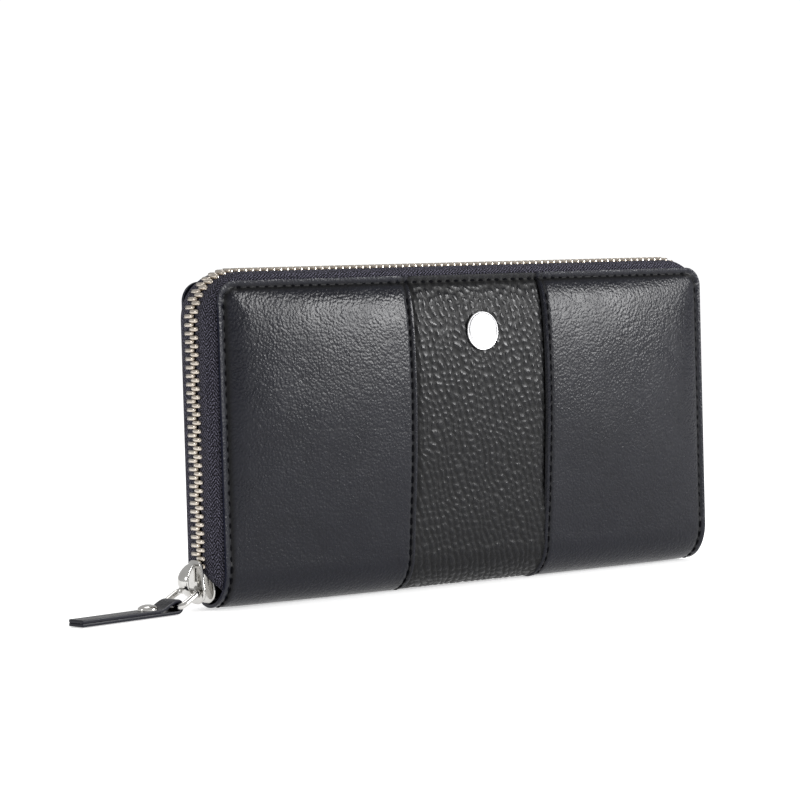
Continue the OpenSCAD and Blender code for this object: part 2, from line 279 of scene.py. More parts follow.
def turned(name: str, profile: Sequence[tuple[float, float]], matrix: Matrix) -> bpy.types.Object:
    """A round piece, raised from a disc ring by ring.

    Args:
        name: The piece's name.
        profile: Radius and height of each ring, in millimetres, from the bottom.
        matrix: Its place, in millimetres.

    Returns:
        The piece, in metres.
    """
    deselect()
    radius, height = profile[0]
    bpy.ops.mesh.primitive_circle_add(vertices=48, radius=radius, fill_type="NGON")
    obj = bpy.context.object
    obj.name = obj.data.name = name
    bpy.ops.object.mode_set(mode="EDIT")
    bpy.ops.mesh.select_all(action="SELECT")
    for wider, higher in profile[1:]:
        bpy.ops.mesh.extrude_region_move(TRANSFORM_OT_translate={"value": (0, 0, higher - height)})
        share = wider / radius
        bpy.ops.transform.resize(value=(share, share, 1))
        radius, height = wider, higher
    bpy.ops.mesh.select_all(action="SELECT")
    bpy.ops.mesh.normals_make_consistent(inside=False)
    bpy.ops.object.mode_set(mode="OBJECT")
    return smooth(placed(obj, matrix @ Matrix.Translation((0, 0, profile[0][1]))))


def repeated(name: str, master: bpy.types.Object, places: Iterable[Matrix]) -> bpy.types.Object:
    """One mesh holding a copy of a master at each place; the master is removed.

    Args:
        name: The piece's name.
        master: The mesh to copy, in millimetres.
        places: The place of each copy, in millimetres.

    Returns:
        The piece, in metres.
    """
    points = [v.co.copy() for v in master.data.vertices]
    faces = [tuple(p.vertices) for p in master.data.polygons]
    all_points, all_faces = [], []
    for matrix in places:
        start = len(all_points)
        all_points += [matrix @ p * MM for p in points]
        all_faces += [tuple(start + i for i in f) for f in faces]
    mesh = bpy.data.meshes.new(name)
    mesh.from_pydata(all_points, [], all_faces)
    obj = bpy.data.objects.new(name, mesh)
    bpy.context.scene.collection.objects.link(obj)
    bpy.data.objects.remove(master)
    return smooth(obj, 50)


def axes(x: Sequence[float], y: Sequence[float], z: Sequence[float]) -> Matrix:
    """A turn that takes X, Y and Z to three given directions."""
    return Matrix((x, y, z)).transposed().to_4x4()


def frame_at(point: Vector, along: Vector, out: Vector) -> Matrix:
    """A place whose Z runs along one direction and whose X points out of a surface.

    Args:
        point: The place's origin.
        along: The direction of Z.
        out: The direction that X leans to.

    Returns:
        The place.
    """
    z = along.normalized()
    x = (out - z * out.dot(z)).normalized()
    return Matrix.Translation(point) @ axes(x, z.cross(x), z)


def ease(share: float) -> float:
    """A smooth step from 0 to 1."""
    share = min(1.0, max(0.0, share))
    return share * share * (3 - 2 * share)


def bell(value: float, centre: float, width: float) -> float:
    """A smooth hump: 1 at its centre, falling to 0 on both sides within about two widths."""
    return math.exp(-(((value - centre) / width) ** 2))


def signed_power(value: float, power: float) -> float:
    """A power that keeps its number's sign; below 1 it squares off a circle's sine and cosine."""
    return math.copysign(abs(value) ** power, value)


def wave(x: float, z: float, wide: float, tall: float, seed: float) -> float:
    """Smooth unevenness between about -1 and 1, with waves of a given width and height."""
    return noise.noise(Vector((x / wide, z / tall, seed)))


def round_corner(x: float, z: float, half: float, top: float, r: float) -> tuple[float, float, float]:
    """Pulls a point of a square sheet inside its round upper corners.

    Args:
        x: Distance from the middle of the width.
        z: Height.
        half: Half the sheet's width.
        top: Height of its top edge.
        r: Radius of its corners.

    Returns:
        The new x, the new z and the distance to the nearest edge.
    """
    a, b = (abs(x) - half + r) / r, (z - top + r) / r
    if a <= 0 or b <= 0:
        return x, z, min(half - abs(x), top - z)
    pa, pb = a * math.sqrt(1 - b * b / 2), b * math.sqrt(1 - a * a / 2)
    return math.copysign(half - r + pa * r, x), top - r + pb * r, r * (1 - math.hypot(pa, pb))


# ---- finishes ---------------------------------------------------------------------


MADE: dict[str, bpy.types.Material] = {}


@dataclass(frozen=True)
class Finish:
    """A material with mottled colour, uneven gloss and a fine relief."""

    name: str
    dark: tuple[float, float, float]
    light: tuple[float, float, float]
    rough: tuple[float, float] = (0.4, 0.55)
    metallic: float = 0.0
    grain_mm: float = 1.0
    depth_mm: float = 0.05
    specular: float = 0.5
    mottle_mm: float = 18
    wear_mm: float = 9
    dulling: float = 0.4

    def relief(self, tree: bpy.types.NodeTree, where: bpy.types.NodeSocket) -> bpy.types.NodeSocket:
        """The height of the surface, from 0 to 1.

        Args:
            tree: The material's nodes.
            where: The position to read the pattern at.

        Returns:
            The socket that holds the height.
        """
        cloud = self.noise(tree, where, self.grain_mm, 6)
        return cloud.outputs["Fac"]

    @staticmethod
    def noise(tree: bpy.types.NodeTree, where: bpy.types.NodeSocket, size_mm: float,
              detail: float = 3) -> bpy.types.Node:
        """A noise texture whose features are about a given size.

        Args:
            tree: The material's nodes.
            where: The position to read the pattern at.
            size_mm: Size of the features, in millimetres.
            detail: How many finer layers it has.

        Returns:
            The texture's node.
        """
        node = tree.nodes.new("ShaderNodeTexNoise")
        node.inputs["Scale"].default_value = 1 / (size_mm * MM)
        node.inputs["Detail"].default_value = detail
        tree.links.new(where, node.inputs["Vector"])
        return node

    @staticmethod
    def ramp(tree: bpy.types.NodeTree, source: bpy.types.NodeSocket,
             stops: Sequence[tuple[float, tuple[float, float, float]]]) -> bpy.types.NodeSocket:
        """Colours along a value.

        Args:
            tree: The material's nodes.
            source: The value.
            stops: Position and colour of each stop.

        Returns:
            The colour socket.
        """
        node = tree.nodes.new("ShaderNodeValToRGB")
        elements = node.color_ramp.elements
        while len(elements) < len(stops):
            elements.new(0.5)
        for element, (position, colour) in zip(elements, stops):
            element.position = position
            element.color = (*colour, 1)
        tree.links.new(source, node.inputs["Fac"])
        return node.outputs["Color"]

    @staticmethod
    def combine(tree: bpy.types.NodeTree, operation: str, a: object, b: object) -> bpy.types.NodeSocket:
        """The result of a two-value sum, whose terms are numbers or sockets.

        Args:
            tree: The material's nodes.
            operation: The operation's name.
            a: The first term, a number or a socket.
            b: The second term, a number or a socket.

        Returns:
            The socket that holds the result.
        """
        node = tree.nodes.new("ShaderNodeMath")
        node.operation = operation
        for socket, value in zip(node.inputs, (a, b)):
            if isinstance(value, (int, float)):
                socket.default_value = value
            else:
                tree.links.new(value, socket)
        return node.outputs["Value"]

    def coordinates(self, tree: bpy.types.NodeTree) -> bpy.types.NodeSocket:
        """The position that the pattern follows."""
        return tree.nodes.new("ShaderNodeTexCoord").outputs["Object"]

    def tint(self, tree: bpy.types.NodeTree, where: bpy.types.NodeSocket,
             height: bpy.types.NodeSocket) -> bpy.types.NodeSocket:
        """The colour, from broad mottling and from the relief, darker where the relief is low as painted
        shade.

        Args:
            tree: The material's nodes.
            where: The position that the pattern follows.
            height: The relief.

        Returns:
            The colour socket.
        """
        cloud = self.noise(tree, where, self.mottle_mm, 4).outputs["Fac"]
        broad = self.combine(tree, "MULTIPLY", cloud, 0.5)
        # Half the relief's height goes into the colour, darkening its hollows: painted shade.
        both = self.combine(tree, "ADD", broad, self.combine(tree, "MULTIPLY", height, 0.5))
        return self.ramp(tree, both, [(0.25, self.dark), (0.8, self.light)])

    def make(self) -> bpy.types.Material:
        """Builds the material once and returns it.

        Returns:
            The material.
        """
        if self.name in MADE:
            return MADE[self.name]
        material = MADE[self.name] = bpy.data.materials.new(self.name)
        material.use_nodes = True
        tree = material.node_tree
        shader = tree.nodes["Principled BSDF"]
        where = self.coordinates(tree)
        height = self.relief(tree, where)
        # Painted light and shade: a per-point value of the piece makes the colour lighter above 0 and darker
        # below 0.
        painted_shading_attr = tree.nodes.new("ShaderNodeAttribute")
        painted_shading_attr.attribute_name = "tone"
        shade = tree.nodes.new("ShaderNodeVectorMath")
        shade.operation = "SCALE"
        tree.links.new(self.tint(tree, where, height), shade.inputs[0])
        tree.links.new(self.combine(tree, "ADD", painted_shading_attr.outputs["Fac"], 1.0), shade.inputs["Scale"])
        tree.links.new(shade.outputs["Vector"], shader.inputs["Base Color"])
        wear = self.noise(tree, where, self.wear_mm, 5).outputs["Fac"]
        span = tree.nodes.new("ShaderNodeMapRange")
        span.inputs["From Min"].default_value = 0.3
        span.inputs["From Max"].default_value = 0.7
        span.inputs["To Min"].default_value = self.rough[0]
        span.inputs["To Max"].default_value = self.rough[1]
        tree.links.new(wear, span.inputs["Value"])
        darker = self.combine(tree, "MULTIPLY", painted_shading_attr.outputs["Fac"], -self.dulling)
        dull = self.combine(tree, "MAXIMUM", darker, 0.0)
        gloss = self.combine(tree, "ADD", span.outputs["Result"], dull)
        tree.links.new(gloss, shader.inputs["Roughness"])
        bump = tree.nodes.new("ShaderNodeBump")
        bump.inputs["Strength"].default_value = 1.0
        bump.inputs["Distance"].default_value = self.depth_mm * MM
        tree.links.new(height, bump.inputs["Height"])
        tree.links.new(bump.outputs["Normal"], shader.inputs["Normal"])
        shader.inputs["Metallic"].default_value = self.metallic
        shader.inputs["Specular IOR Level"].default_value = self.specular
        return material


@dataclass(frozen=True)
class Leather(Finish):
    """Leather whose relief is small cells parted by creases, under fine pores."""

    def relief(self, tree: bpy.types.NodeTree, where: bpy.types.NodeSocket) -> bpy.types.NodeSocket:
        """Cells with sunk edges and a little fine noise.

        Args:
            tree: The material's nodes.
            where: The position to read the pattern at.

        Returns:
            The socket that holds the height.
        """
        cell_share, pore_share, wrinkle_share = 0.75, 0.3, 0.6
        cells = tree.nodes.new("ShaderNodeTexVoronoi")
        cells.feature = "SMOOTH_F1"
        cells.inputs["Scale"].default_value = 1 / (self.grain_mm * MM)
        cells.inputs["Smoothness"].default_value = 0.5
        warp = self.noise(tree, where, self.grain_mm * 3, 2)
        bend = tree.nodes.new("ShaderNodeVectorMath")
        bend.operation = "MULTIPLY_ADD"
        bend.inputs[1].default_value = (self.grain_mm * MM,) * 3
        tree.links.new(warp.outputs["Color"], bend.inputs[0])
        tree.links.new(where, bend.inputs[2])
        tree.links.new(bend.outputs["Vector"], cells.inputs["Vector"])
        pores = self.noise(tree, where, self.grain_mm * 0.4, 4).outputs["Fac"]
        hollow = self.combine(tree, "SUBTRACT", 1.0, cells.outputs["Distance"])
        wrinkles = self.noise(tree, where, self.grain_mm * 3.5, 5).outputs["Fac"]
        coarse = self.combine(tree, "MULTIPLY", hollow, cell_share)
        fine = self.combine(tree, "MULTIPLY", pores, pore_share)
        slow = self.combine(tree, "MULTIPLY", wrinkles, wrinkle_share)
        return self.combine(tree, "ADD", slow, self.combine(tree, "ADD", coarse, fine))


@dataclass(frozen=True)
class Pebbled(Finish):
    """Tumbled leather: fine wrinkles and pores over the domes of the mesh."""

    cell_mm: tuple[float, float] = (0.75, 1.05)
    cell_turn: float = math.radians(16)
    pore_mm: float = 0.4
    pore_share: float = 0.35

    def coordinates(self, tree: bpy.types.NodeTree) -> bpy.types.NodeSocket:
        """The piece's own map, in metres across and along it."""
        return tree.nodes.new("ShaderNodeTexCoord").outputs["UV"]

    def relief(self, tree: bpy.types.NodeTree, where: bpy.types.NodeSocket) -> bpy.types.NodeSocket:
        """Small soft cells under finer pores.

        Args:
            tree: The material's nodes.
            where: The position to read the pattern at.

        Returns:
            The socket that holds the height.
        """
        fit = tree.nodes.new("ShaderNodeMapping")
        fit.inputs["Rotation"].default_value = (0, 0, self.cell_turn)
        fit.inputs["Scale"].default_value = (1 / self.cell_mm[0] / MM, 1 / self.cell_mm[1] / MM, 1)
        tree.links.new(where, fit.inputs["Vector"])
        cells = tree.nodes.new("ShaderNodeTexVoronoi")
        cells.voronoi_dimensions = "2D"
        cells.feature = "SMOOTH_F1"
        cells.inputs["Scale"].default_value = 1
        cells.inputs["Smoothness"].default_value = 0.6
        tree.links.new(fit.outputs["Vector"], cells.inputs["Vector"])
        swell = self.combine(tree, "SUBTRACT", 1.0, cells.outputs["Distance"])
        pores = self.noise(tree, where, self.pore_mm, 3).outputs["Fac"]
        return self.combine(tree, "ADD", swell, self.combine(tree, "MULTIPLY", pores, self.pore_share))


@dataclass(frozen=True)
class Woven(Finish):
    """Cloth whose ribs slant one way and then the other, following the piece's own map."""

    rib_mm: float = 0.8
    stripe_mm: float = 2.2
    rib_share: float = 0.3
    thread_mm: float = 0.35
    thread_share: float = 0.4
    fleck_mm: float = 0.4
    fleck_share: float = 1.1

    def coordinates(self, tree: bpy.types.NodeTree) -> bpy.types.NodeSocket:
        """The piece's own map, in metres along and across it."""
        return tree.nodes.new("ShaderNodeTexCoord").outputs["UV"]

    def relief(self, tree: bpy.types.NodeTree, where: bpy.types.NodeSocket) -> bpy.types.NodeSocket:
        """Slanted ribs in a herringbone.

        Args:
            tree: The material's nodes.
            where: The position to read the pattern at.

        Returns:
            The socket that holds the height.
        """
        split = tree.nodes.new("ShaderNodeSeparateXYZ")
        tree.links.new(where, split.inputs["Vector"])
        across = self.combine(tree, "PINGPONG", split.outputs["Y"], self.stripe_mm * MM)
        slant = self.combine(tree, "ADD", split.outputs["X"], across)
        turn = self.combine(tree, "MULTIPLY", slant, 2 * math.pi / (self.rib_mm * MM))
        swing = self.combine(tree, "SINE", turn, 0.0)
        thread = self.noise(tree, where, self.thread_mm, 2).outputs["Fac"]
        ribs = self.combine(tree, "MULTIPLY", swing, self.rib_share)
        lift = self.combine(tree, "ADD", ribs, self.rib_share)
        return self.combine(tree, "ADD", lift, self.combine(tree, "MULTIPLY", thread, self.thread_share))

    def tint(self, tree: bpy.types.NodeTree, where: bpy.types.NodeSocket,
             height: bpy.types.NodeSocket) -> bpy.types.NodeSocket:
        """Dark between the ribs, with pale flecks on top of them.

        Args:
            tree: The material's nodes.
            where: The position to read the pattern at.
            height: The relief.

        Returns:
            The colour socket.
        """
        fleck = self.noise(tree, where, self.fleck_mm, 2).outputs["Fac"]
        rib = self.combine(tree, "MULTIPLY", height, self.rib_share)
        both = self.combine(tree, "ADD", rib, self.combine(tree, "MULTIPLY", fleck, self.fleck_share))
        return self.ramp(tree, both, [(0.68, self.dark), (1.0, self.light)])


SMOOTH = Leather("navy_calf", (0.002, 0.0022, 0.0045), (0.0055, 0.006, 0.0105), (0.22, 0.32),
                 grain_mm=0.85, depth_mm=0.12, specular=0.23)
PEBBLED = Pebbled("tumbled_calf", (0.001, 0.001, 0.0018), (0.004, 0.0042, 0.006), (0.18, 0.26),
                  depth_mm=0.05, specular=0.23)
EDGE = Finish("painted_edge", (0.003, 0.003, 0.007), (0.008, 0.009, 0.018), (0.3, 0.45),
              grain_mm=0.6, depth_mm=0.03, specular=0.22)
TAPE = Woven("twill_tape", (0.002, 0.002, 0.004), (0.21, 0.2, 0.27), (0.7, 0.85), depth_mm=0.3,
             specular=0.15, rib_mm=1.2, stripe_mm=2.4)
LINING = Woven("ribbed_cloth", (0.006, 0.006, 0.010), (0.022, 0.022, 0.032), (0.7, 0.85),
               depth_mm=0.12, rib_mm=0.7, stripe_mm=0.7, specular=0.2)
THREAD = Finish("black_thread", (0.001, 0.001, 0.002), (0.004, 0.004, 0.005), (0.75, 0.9),
                grain_mm=0.3, depth_mm=0.05, specular=0.05)
TEETH = Finish("pale_brass", (0.43, 0.38, 0.32), (0.70, 0.64, 0.57), (0.16, 0.3), 1.0, 0.8, 0.01)
NICKEL = Finish("bright_nickel", (0.50, 0.49, 0.47), (0.70, 0.69, 0.67), (0.08, 0.18), 1.0, 3.0, 0.01)
POLISHED = Finish("polished_plate", (0.52, 0.52, 0.53), (0.66, 0.66, 0.67), (0.2, 0.3), 1.0, 4.0, 0.01)
FOAM = Finish("grey_foam", (0.2, 0.2, 0.19), (0.4, 0.4, 0.38), (0.8, 0.95), grain_mm=0.8, depth_mm=0.2)
BOARD = Finish("fibre_board", (0.30, 0.23, 0.14), (0.52, 0.43, 0.3), (0.7, 0.85), grain_mm=1.5,
               depth_mm=0.08)

FINISH_OF_SLOT = {
    "smooth_leather": SMOOTH, "pebbled_leather": PEBBLED, "lining_cloth": LINING, "zip_tape": TAPE,
    "zip_metal": TEETH, "bright_metal": NICKEL, "foam": FOAM, "board": BOARD,
}


def dress(obj: bpy.types.Object, finish: Finish,
          rim: Finish | None = None) -> bpy.types.Object:
    """Gives a piece its finish.

    Args:
        obj: The piece.
        finish: The finish.
        rim: The finish of its cut edges, where they have one of their own.

    Returns:
        The same piece.
    """
    obj.data.materials.clear()
    obj.data.materials.append(finish.make())
    if rim:
        obj.data.materials.append(rim.make())
    return obj


# ---- cover ------------------------------------------------------------------------


@dataclass
class Cover:
    """The sewn leather cover: two side panels and a grained band, wrapped round the spine."""

    half_width: float = field(default_factory=lambda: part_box("front_right_panel")[1].x / MM)
    height: float = field(default_factory=lambda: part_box("front_right_panel")[1].z / MM)
    spine_z: float = field(default_factory=lambda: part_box("front_right_panel")[0].z / MM)
    band_half: float = field(default_factory=lambda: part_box("front_centre_band")[1].x / MM)
    crest: float = field(default_factory=lambda: -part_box("front_centre_band")[0].y / MM)
    edge_y: float = 10.2
    crown_z: float = 65.0
    corner: float = 6.0
    leather: float = 1.0
    seam_in: float = 2.0
    stitch_pitch: float = 3.2
    recess: float = 0.4
    overlap: float = 1.5
    band_leather: float = 0.42
    foot_swell: float = 0.4
    foot_gap: float = 0.65
    flat_share: float = 0.32
    swell_power: float = 2.4
    seam_reach: float = 2.4
    groove_depth: float = 0.7
    groove_width: float = 0.75
    # Shares of the colour: painted shade in the stitched groove and a painted highlight on the rim.
    groove_dark: float = 0.85
    rim_light: float = 0.6
    pucker: float = 0.35
    fold_in: float = 0.4
    # The most that painted shade may darken the colour, as a share.
    darkest: float = -0.92
    relief: float = 0.3
    dome_x: float = 2.3
    dome_z: float = 2.4
    slant: float = 0.35
    centre: Vector = field(default_factory=lambda: Vector((0, 0, 50)))

    @property
    def face_run(self) -> float:
        """Length of one face along the wrap."""
        return self.height - self.spine_z

    @property
    def spine_run(self) -> float:
        """Half the length of the spine along the wrap."""
        return (self.edge_y + self.spine_z) / 2 * math.pi / 2

    @property
    def half_run(self) -> float:
        """Half the length of the whole wrap."""
        return self.face_run + self.spine_run

    def swell(self, x: float, z: float) -> float:
        """How far the padding lifts the leather, before the seams hold it down.

        Args:
            x: Distance along the width.
            z: Height.

        Returns:
            The lift, in millimetres.
        """
        top = self.crest - self.edge_y
        if z > self.crown_z:
            rise = top * math.sqrt(max(0.0, 1 - ((z - self.crown_z) / (self.height - self.crown_z)) ** 2))
        else:
            down = (self.crown_z - z) / (self.crown_z - self.spine_z)
            quarter = math.pi / 2 * min(1.0, max(0.0, down))
            rise = self.foot_swell + (top - self.foot_swell) * math.cos(quarter)
        flat = self.half_width * self.flat_share
        out = max(0.0, abs(x) - flat) / (self.half_width - flat)
        return rise * math.sqrt(max(0.0, 1 - out ** self.swell_power))

    def rounded(self, x: float, z: float) -> tuple[float, float, float]:
        """A point of a face pulled inside the round upper corners, with its distance to the edge."""
        return round_corner(x, z, self.half_width, self.height, self.corner)

    def seam(self, gap: float) -> float:
        """How the seam near an edge holds the leather down: 0 at the rim and 1 well inside it."""
        inside = max(0.0, gap - self.seam_in)
        return 1 - math.exp(-inside / self.seam_reach)

    def groove(self, gap: float, along: float) -> float:
        """Depth of the line that the stitches pull into the leather."""
        pull = 1 - self.pucker + self.pucker * math.cos(2 * math.pi * along / self.stitch_pitch)
        return self.groove_depth * pull * bell(gap, self.seam_in, self.groove_width)

    def point(self, x: float, run: float, lift: float = 0.0, plain: bool = False) -> Vector:
        """A point of the cover's outside.

        Args:
            x: Distance along the width.
            run: Distance along the wrap, from the middle of the spine, below 0 in front.
            lift: Extra height above the surface.
            plain: Leaves out the seams and creases.

        Returns:
            The point, in millimetres.
        """
        sign, reach = (-1 if run < 0 else 1), abs(run)
        if reach > self.spine_run:
            z = self.spine_z + reach - self.spine_run
            x, z, gap = self.rounded(x, min(z, self.height))
            hold = 1.0 if plain else self.seam(gap)
            line = 0.0 if plain else self.groove(gap, x if gap == self.height - z else z)
            wander = 0.0 if plain else self.creases(x, z, sign) * hold
            out = self.swell(x, z) * hold - line + wander + lift
            return Vector((x, sign * (self.edge_y + out), z))
        turn = math.pi / 2 * reach / self.spine_run
        gap = self.half_width - abs(x)
        hold = 1.0 if plain else self.seam(gap)
        line = 0.0 if plain else self.groove(gap, run)
        out = self.swell(x, self.spine_z) * hold - line + lift
        rise = self.spine_z - self.foot_gap
        y = (self.edge_y + out) * math.sin(turn)
        z = self.spine_z - (rise + out) * math.cos(turn)
        return Vector((x, sign * y, z))

    @staticmethod
    def creases(x: float, z: float, sign: int) -> float:
        """The slow unevenness of stretched leather.

        Args:
            x: Distance along the width.
            z: Height.
            sign: -1 in front and 1 behind.

        Returns:
            The height, in millimetres.
        """
        slow = wave(x, z, wide=26, tall=17, seed=3.0 * sign)
        quick = wave(x, z, wide=7, tall=12, seed=9.0 * sign)
        return 0.16 * slow + 0.04 * quick

    def outward(self, x: float, run: float) -> Vector:
        """The direction out of the cover at a place.

        Args:
            x: Distance along the width.
            run: Distance along the wrap, below 0 in front.

        Returns:
            The direction, of length 1.
        """
        step = 0.4
        across = self.point(x + step, run, plain=True) - self.point(x - step, run, plain=True)
        along = self.point(x, run + step, plain=True) - self.point(x, run - step, plain=True)
        normal = across.cross(along).normalized()
        here = self.point(x, run, plain=True)
        if abs(run) < self.spine_run:
            away = here - Vector((here.x, 0, self.spine_z))
        else:
            away = Vector((0, here.y, 0))
        return normal if normal.dot(away) > 0 else -normal

    def edge_tone(self, x: float, run: float) -> float:
        """Painted shade in the stitched groove and its pucker, and a painted highlight along the rim.

        Args:
            x: Distance along the width.
            run: Distance along the wrap, below 0 in front.

        Returns:
            How much lighter, above 0, or darker, below 0, it is.
        """
        reach = abs(run) - self.spine_run
        gap = self.half_width - abs(x)
        if reach > 0:
            gap = self.rounded(x, min(self.spine_z + reach, self.height))[2]
        # Painted shade in the stitched groove and a painted highlight on the rim.
        groove = -self.groove_dark * bell(gap - self.seam_in, 0.3, self.groove_width)
        return groove + self.rim_light * bell(gap, 0.0, 1.0)

    def spread(self, share: float, low: float, high: float, fine: float = 8.0) -> float:
        """A place between two limits, with places set closer together near both.

        Args:
            share: Share of the way, from 0 to 1.
            low: The first limit.
            high: The last limit.
            fine: Length of the closely set stretch at each limit.

        Returns:
            The place.
        """
        dense, span = 0.24, high - low
        if share < dense:
            return low + fine * share / dense
        if share > 1 - dense:
            return high - fine * (1 - share) / dense
        return low + fine + (span - 2 * fine) * (share - dense) / (1 - 2 * dense)

    def side_panel(self, end: End) -> bpy.types.Object:
        """One side panel, with a folded edge that lies on the band.

        Args:
            end: Which end of the wallet it covers.

        Returns:
            The piece.
        """
        inner, outer = self.band_half - self.fold_in, self.half_width
        nose_drop, nose_in = 0.75, 0.9
        roll_lift = 0.34 if end is End.RIGHT else 0.08
        line_depth, line_width = 0.4, 0.6

        def fold(x: float) -> float:
            """Height of the folded edge above the rest of the panel.

            Args:
                x: Distance along the width.

            Returns:
                The height, in millimetres.
            """
            e = abs(x) - inner
            nose = -nose_drop * (1 - math.sqrt(max(0.0, 1 - (1 - min(1.0, e / nose_in)) ** 2)))
            roll = roll_lift * bell(e, 1.0, 0.8)
            return nose + roll + -line_depth * bell(e, self.seam_in, line_width)

        def place(a: float, b: float) -> Vector:
            """A point of the panel's outside.

            Args:
                a: Share along the first direction, from 0 to 1.
                b: Share along the second direction, from 0 to 1.

            Returns:
                The point, in millimetres.
            """
            x = end.value * self.spread(a, inner, outer)
            run = self.spread(b, -self.half_run, self.half_run)
            spot = self.point(x, run)
            return spot + self.outward(x, run) * fold(x)

        def unfold(a: float, b: float) -> tuple[float, float]:
            """The flat position of a place, in millimetres."""
            return a * (outer - inner), b * 2 * self.half_run

        def tone(a: float, b: float) -> float:
            """The panel's painted shade at its seams and along its fold, and its painted highlights on the
            rim and the lip.

            Args:
                a: Share along the first direction, from 0 to 1.
                b: Share along the second direction, from 0 to 1.

            Returns:
                How much lighter, above 0, or darker, below 0, it is.
            """
            x = end.value * self.spread(a, inner, outer)
            run = self.spread(b, -self.half_run, self.half_run)
            e = abs(x) - inner
            # Painted shade along the fold's stitches and in the shadow at the fold's edge, and a painted
            # highlight on the lip.
            painted_fold_shade = -0.8 * bell(e, self.seam_in, line_width) - 0.6 * bell(e, 0.0, 0.4)
            painted_lip_highlight = 0.5 * bell(e, 0.6, 0.3)
            return max(self.darkest, self.edge_tone(x, run) + painted_fold_shade + painted_lip_highlight)

        name = f"{end.word}_leather"
        obj = sheet(name, 66, 260, place, self.centre, unfold, tone)
        dress(obj, SMOOTH, rim=EDGE)
        smooth(thicken(obj, self.leather * MM, -1, rim=True), 35)
        parts = [f"{part}_{end.word}_panel" for part in ("front", "spine", "rear")]
        self.wrap(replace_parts(obj, *parts))
        return obj

    def pebble(self, x: float, run: float) -> float:
        """The band's domes, in slanting rows parted by long creases, from 0 in a crease to 1.

        Args:
            x: Distance along the width.
            run: Distance along the wrap.

        Returns:
            The height, as a share of the relief.
        """
        drift = wave(x, run, wide=8, tall=9, seed=1.0)
        jitter = wave(x, run, wide=2.4, tall=2.4, seed=4.0)
        shift = wave(x, run, wide=4, tall=5, seed=8.0)
        row = (x - self.slant * run) / self.dome_x + 0.9 * drift + 0.35 * jitter
        start = noise.cell(Vector((math.floor(row), 0.5, 0.5)))
        step = run / self.dome_z + 3 * start + 0.7 * shift
        across, along = row % 1, step % 1
        ridge = ease(3.6 * min(across, 1 - across))
        dome = ease(2.8 * min(along, 1 - along))
        return ridge * (0.35 + 0.65 * dome)

    def under_fold(self, x: float) -> float:
        """How far the band dips under the side panels' folded edges, from 0 to 1."""
        return bell(max(0.0, self.band_half - self.fold_in - abs(x)), 0.0, 0.9)

    def band(self) -> bpy.types.Object:
        """The grained band, sunk below the side panels that overlap it.

        Returns:
            The piece.
        """
        half = self.band_half + self.overlap

        def place(a: float, b: float) -> Vector:
            """A point of the band's outside, sunk below the side panels.

            Args:
                a: Share along the first direction, from 0 to 1.
                b: Share along the second direction, from 0 to 1.

            Returns:
                The point, in millimetres.
            """
            x = (2 * a - 1) * half
            run = (2 * b - 1) * self.half_run
            gap = self.half_run - abs(run)
            hold = self.seam(gap)
            clear_of_foot = ease((abs(run) - self.spine_run - 4) / 16)
            under = 0.5 * self.under_fold(x) * clear_of_foot
            sunk = -0.1 - self.recess * hold * clear_of_foot - under
            grain = self.relief * (self.pebble(x, run) - 1) * (0.3 + 0.7 * ease((gap - 2.2) / 3))
            return self.point(x, run) + self.outward(x, run) * (sunk + grain)

        def unfold(a: float, b: float) -> tuple[float, float]:
            """The flat position of a place, in millimetres."""
            return a * 2 * half, b * 2 * self.half_run

        def tone(a: float, b: float) -> float:
            """The band's painted shade in its creases, beside the folds and in its stitched grooves, with a
            painted highlight along its rim.

            Args:
                a: Share along the first direction, from 0 to 1.
                b: Share along the second direction, from 0 to 1.

            Returns:
                How much lighter, above 0, or darker, below 0, it is.
            """
            x, run = (2 * a - 1) * half, (2 * b - 1) * self.half_run
            # Painted shade in the creases between the domes and in the shadow under the folded edges.
            crease = 0.9 * (1 - self.pebble(x, run))
            return max(self.darkest, self.edge_tone(0, run) - crease - 0.7 * self.under_fold(x))

        obj = sheet("centre_band_leather", 108, 400, place, self.centre, unfold, tone)
        dress(obj, PEBBLED, rim=EDGE)
        smooth(thicken(obj, self.band_leather * MM, -1, rim=True), 60)
        self.wrap(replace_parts(obj, "front_centre_band", "spine_centre_band", "rear_centre_band"))
        return obj

    def wrap(self, obj: bpy.types.Object) -> None:
        """Bakes a piece's place into its mesh."""
        Side.REAR.body
        Side.FRONT.body
        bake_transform(obj)

    def stitch(self) -> bpy.types.Object:
        """One stitch, lying along Z, modelled once and copied.

        Returns:
            The mesh to copy, in millimetres.
        """
        deselect()
        bpy.ops.mesh.primitive_uv_sphere_add(segments=6, ring_count=5, radius=1)
        master = bpy.context.object
        master.data.transform(Matrix.Diagonal((0.34, 0.48, self.stitch_pitch * 0.36, 1)))
        return master

    def stitch_line(self, name: str, spots: Sequence[tuple[float, float]], lift: float) -> bpy.types.Object:
        """Stitches along a line on the cover.

        Args:
            name: The piece's name.
            spots: Position along the width and along the wrap of each stitch.
            lift: Height of the stitches above the surface there.

        Returns:
            The piece.
        """
        places = []
        for i, (x, run) in enumerate(spots):
            here = self.point(x, run)
            other = spots[i + 1] if i + 1 < len(spots) else spots[i - 1]
            along = self.point(*other) - here
            out = self.outward(x, run)
            places.append(frame_at(here + out * lift, along, out))
        return dress(repeated(name, self.stitch(), places), THREAD)

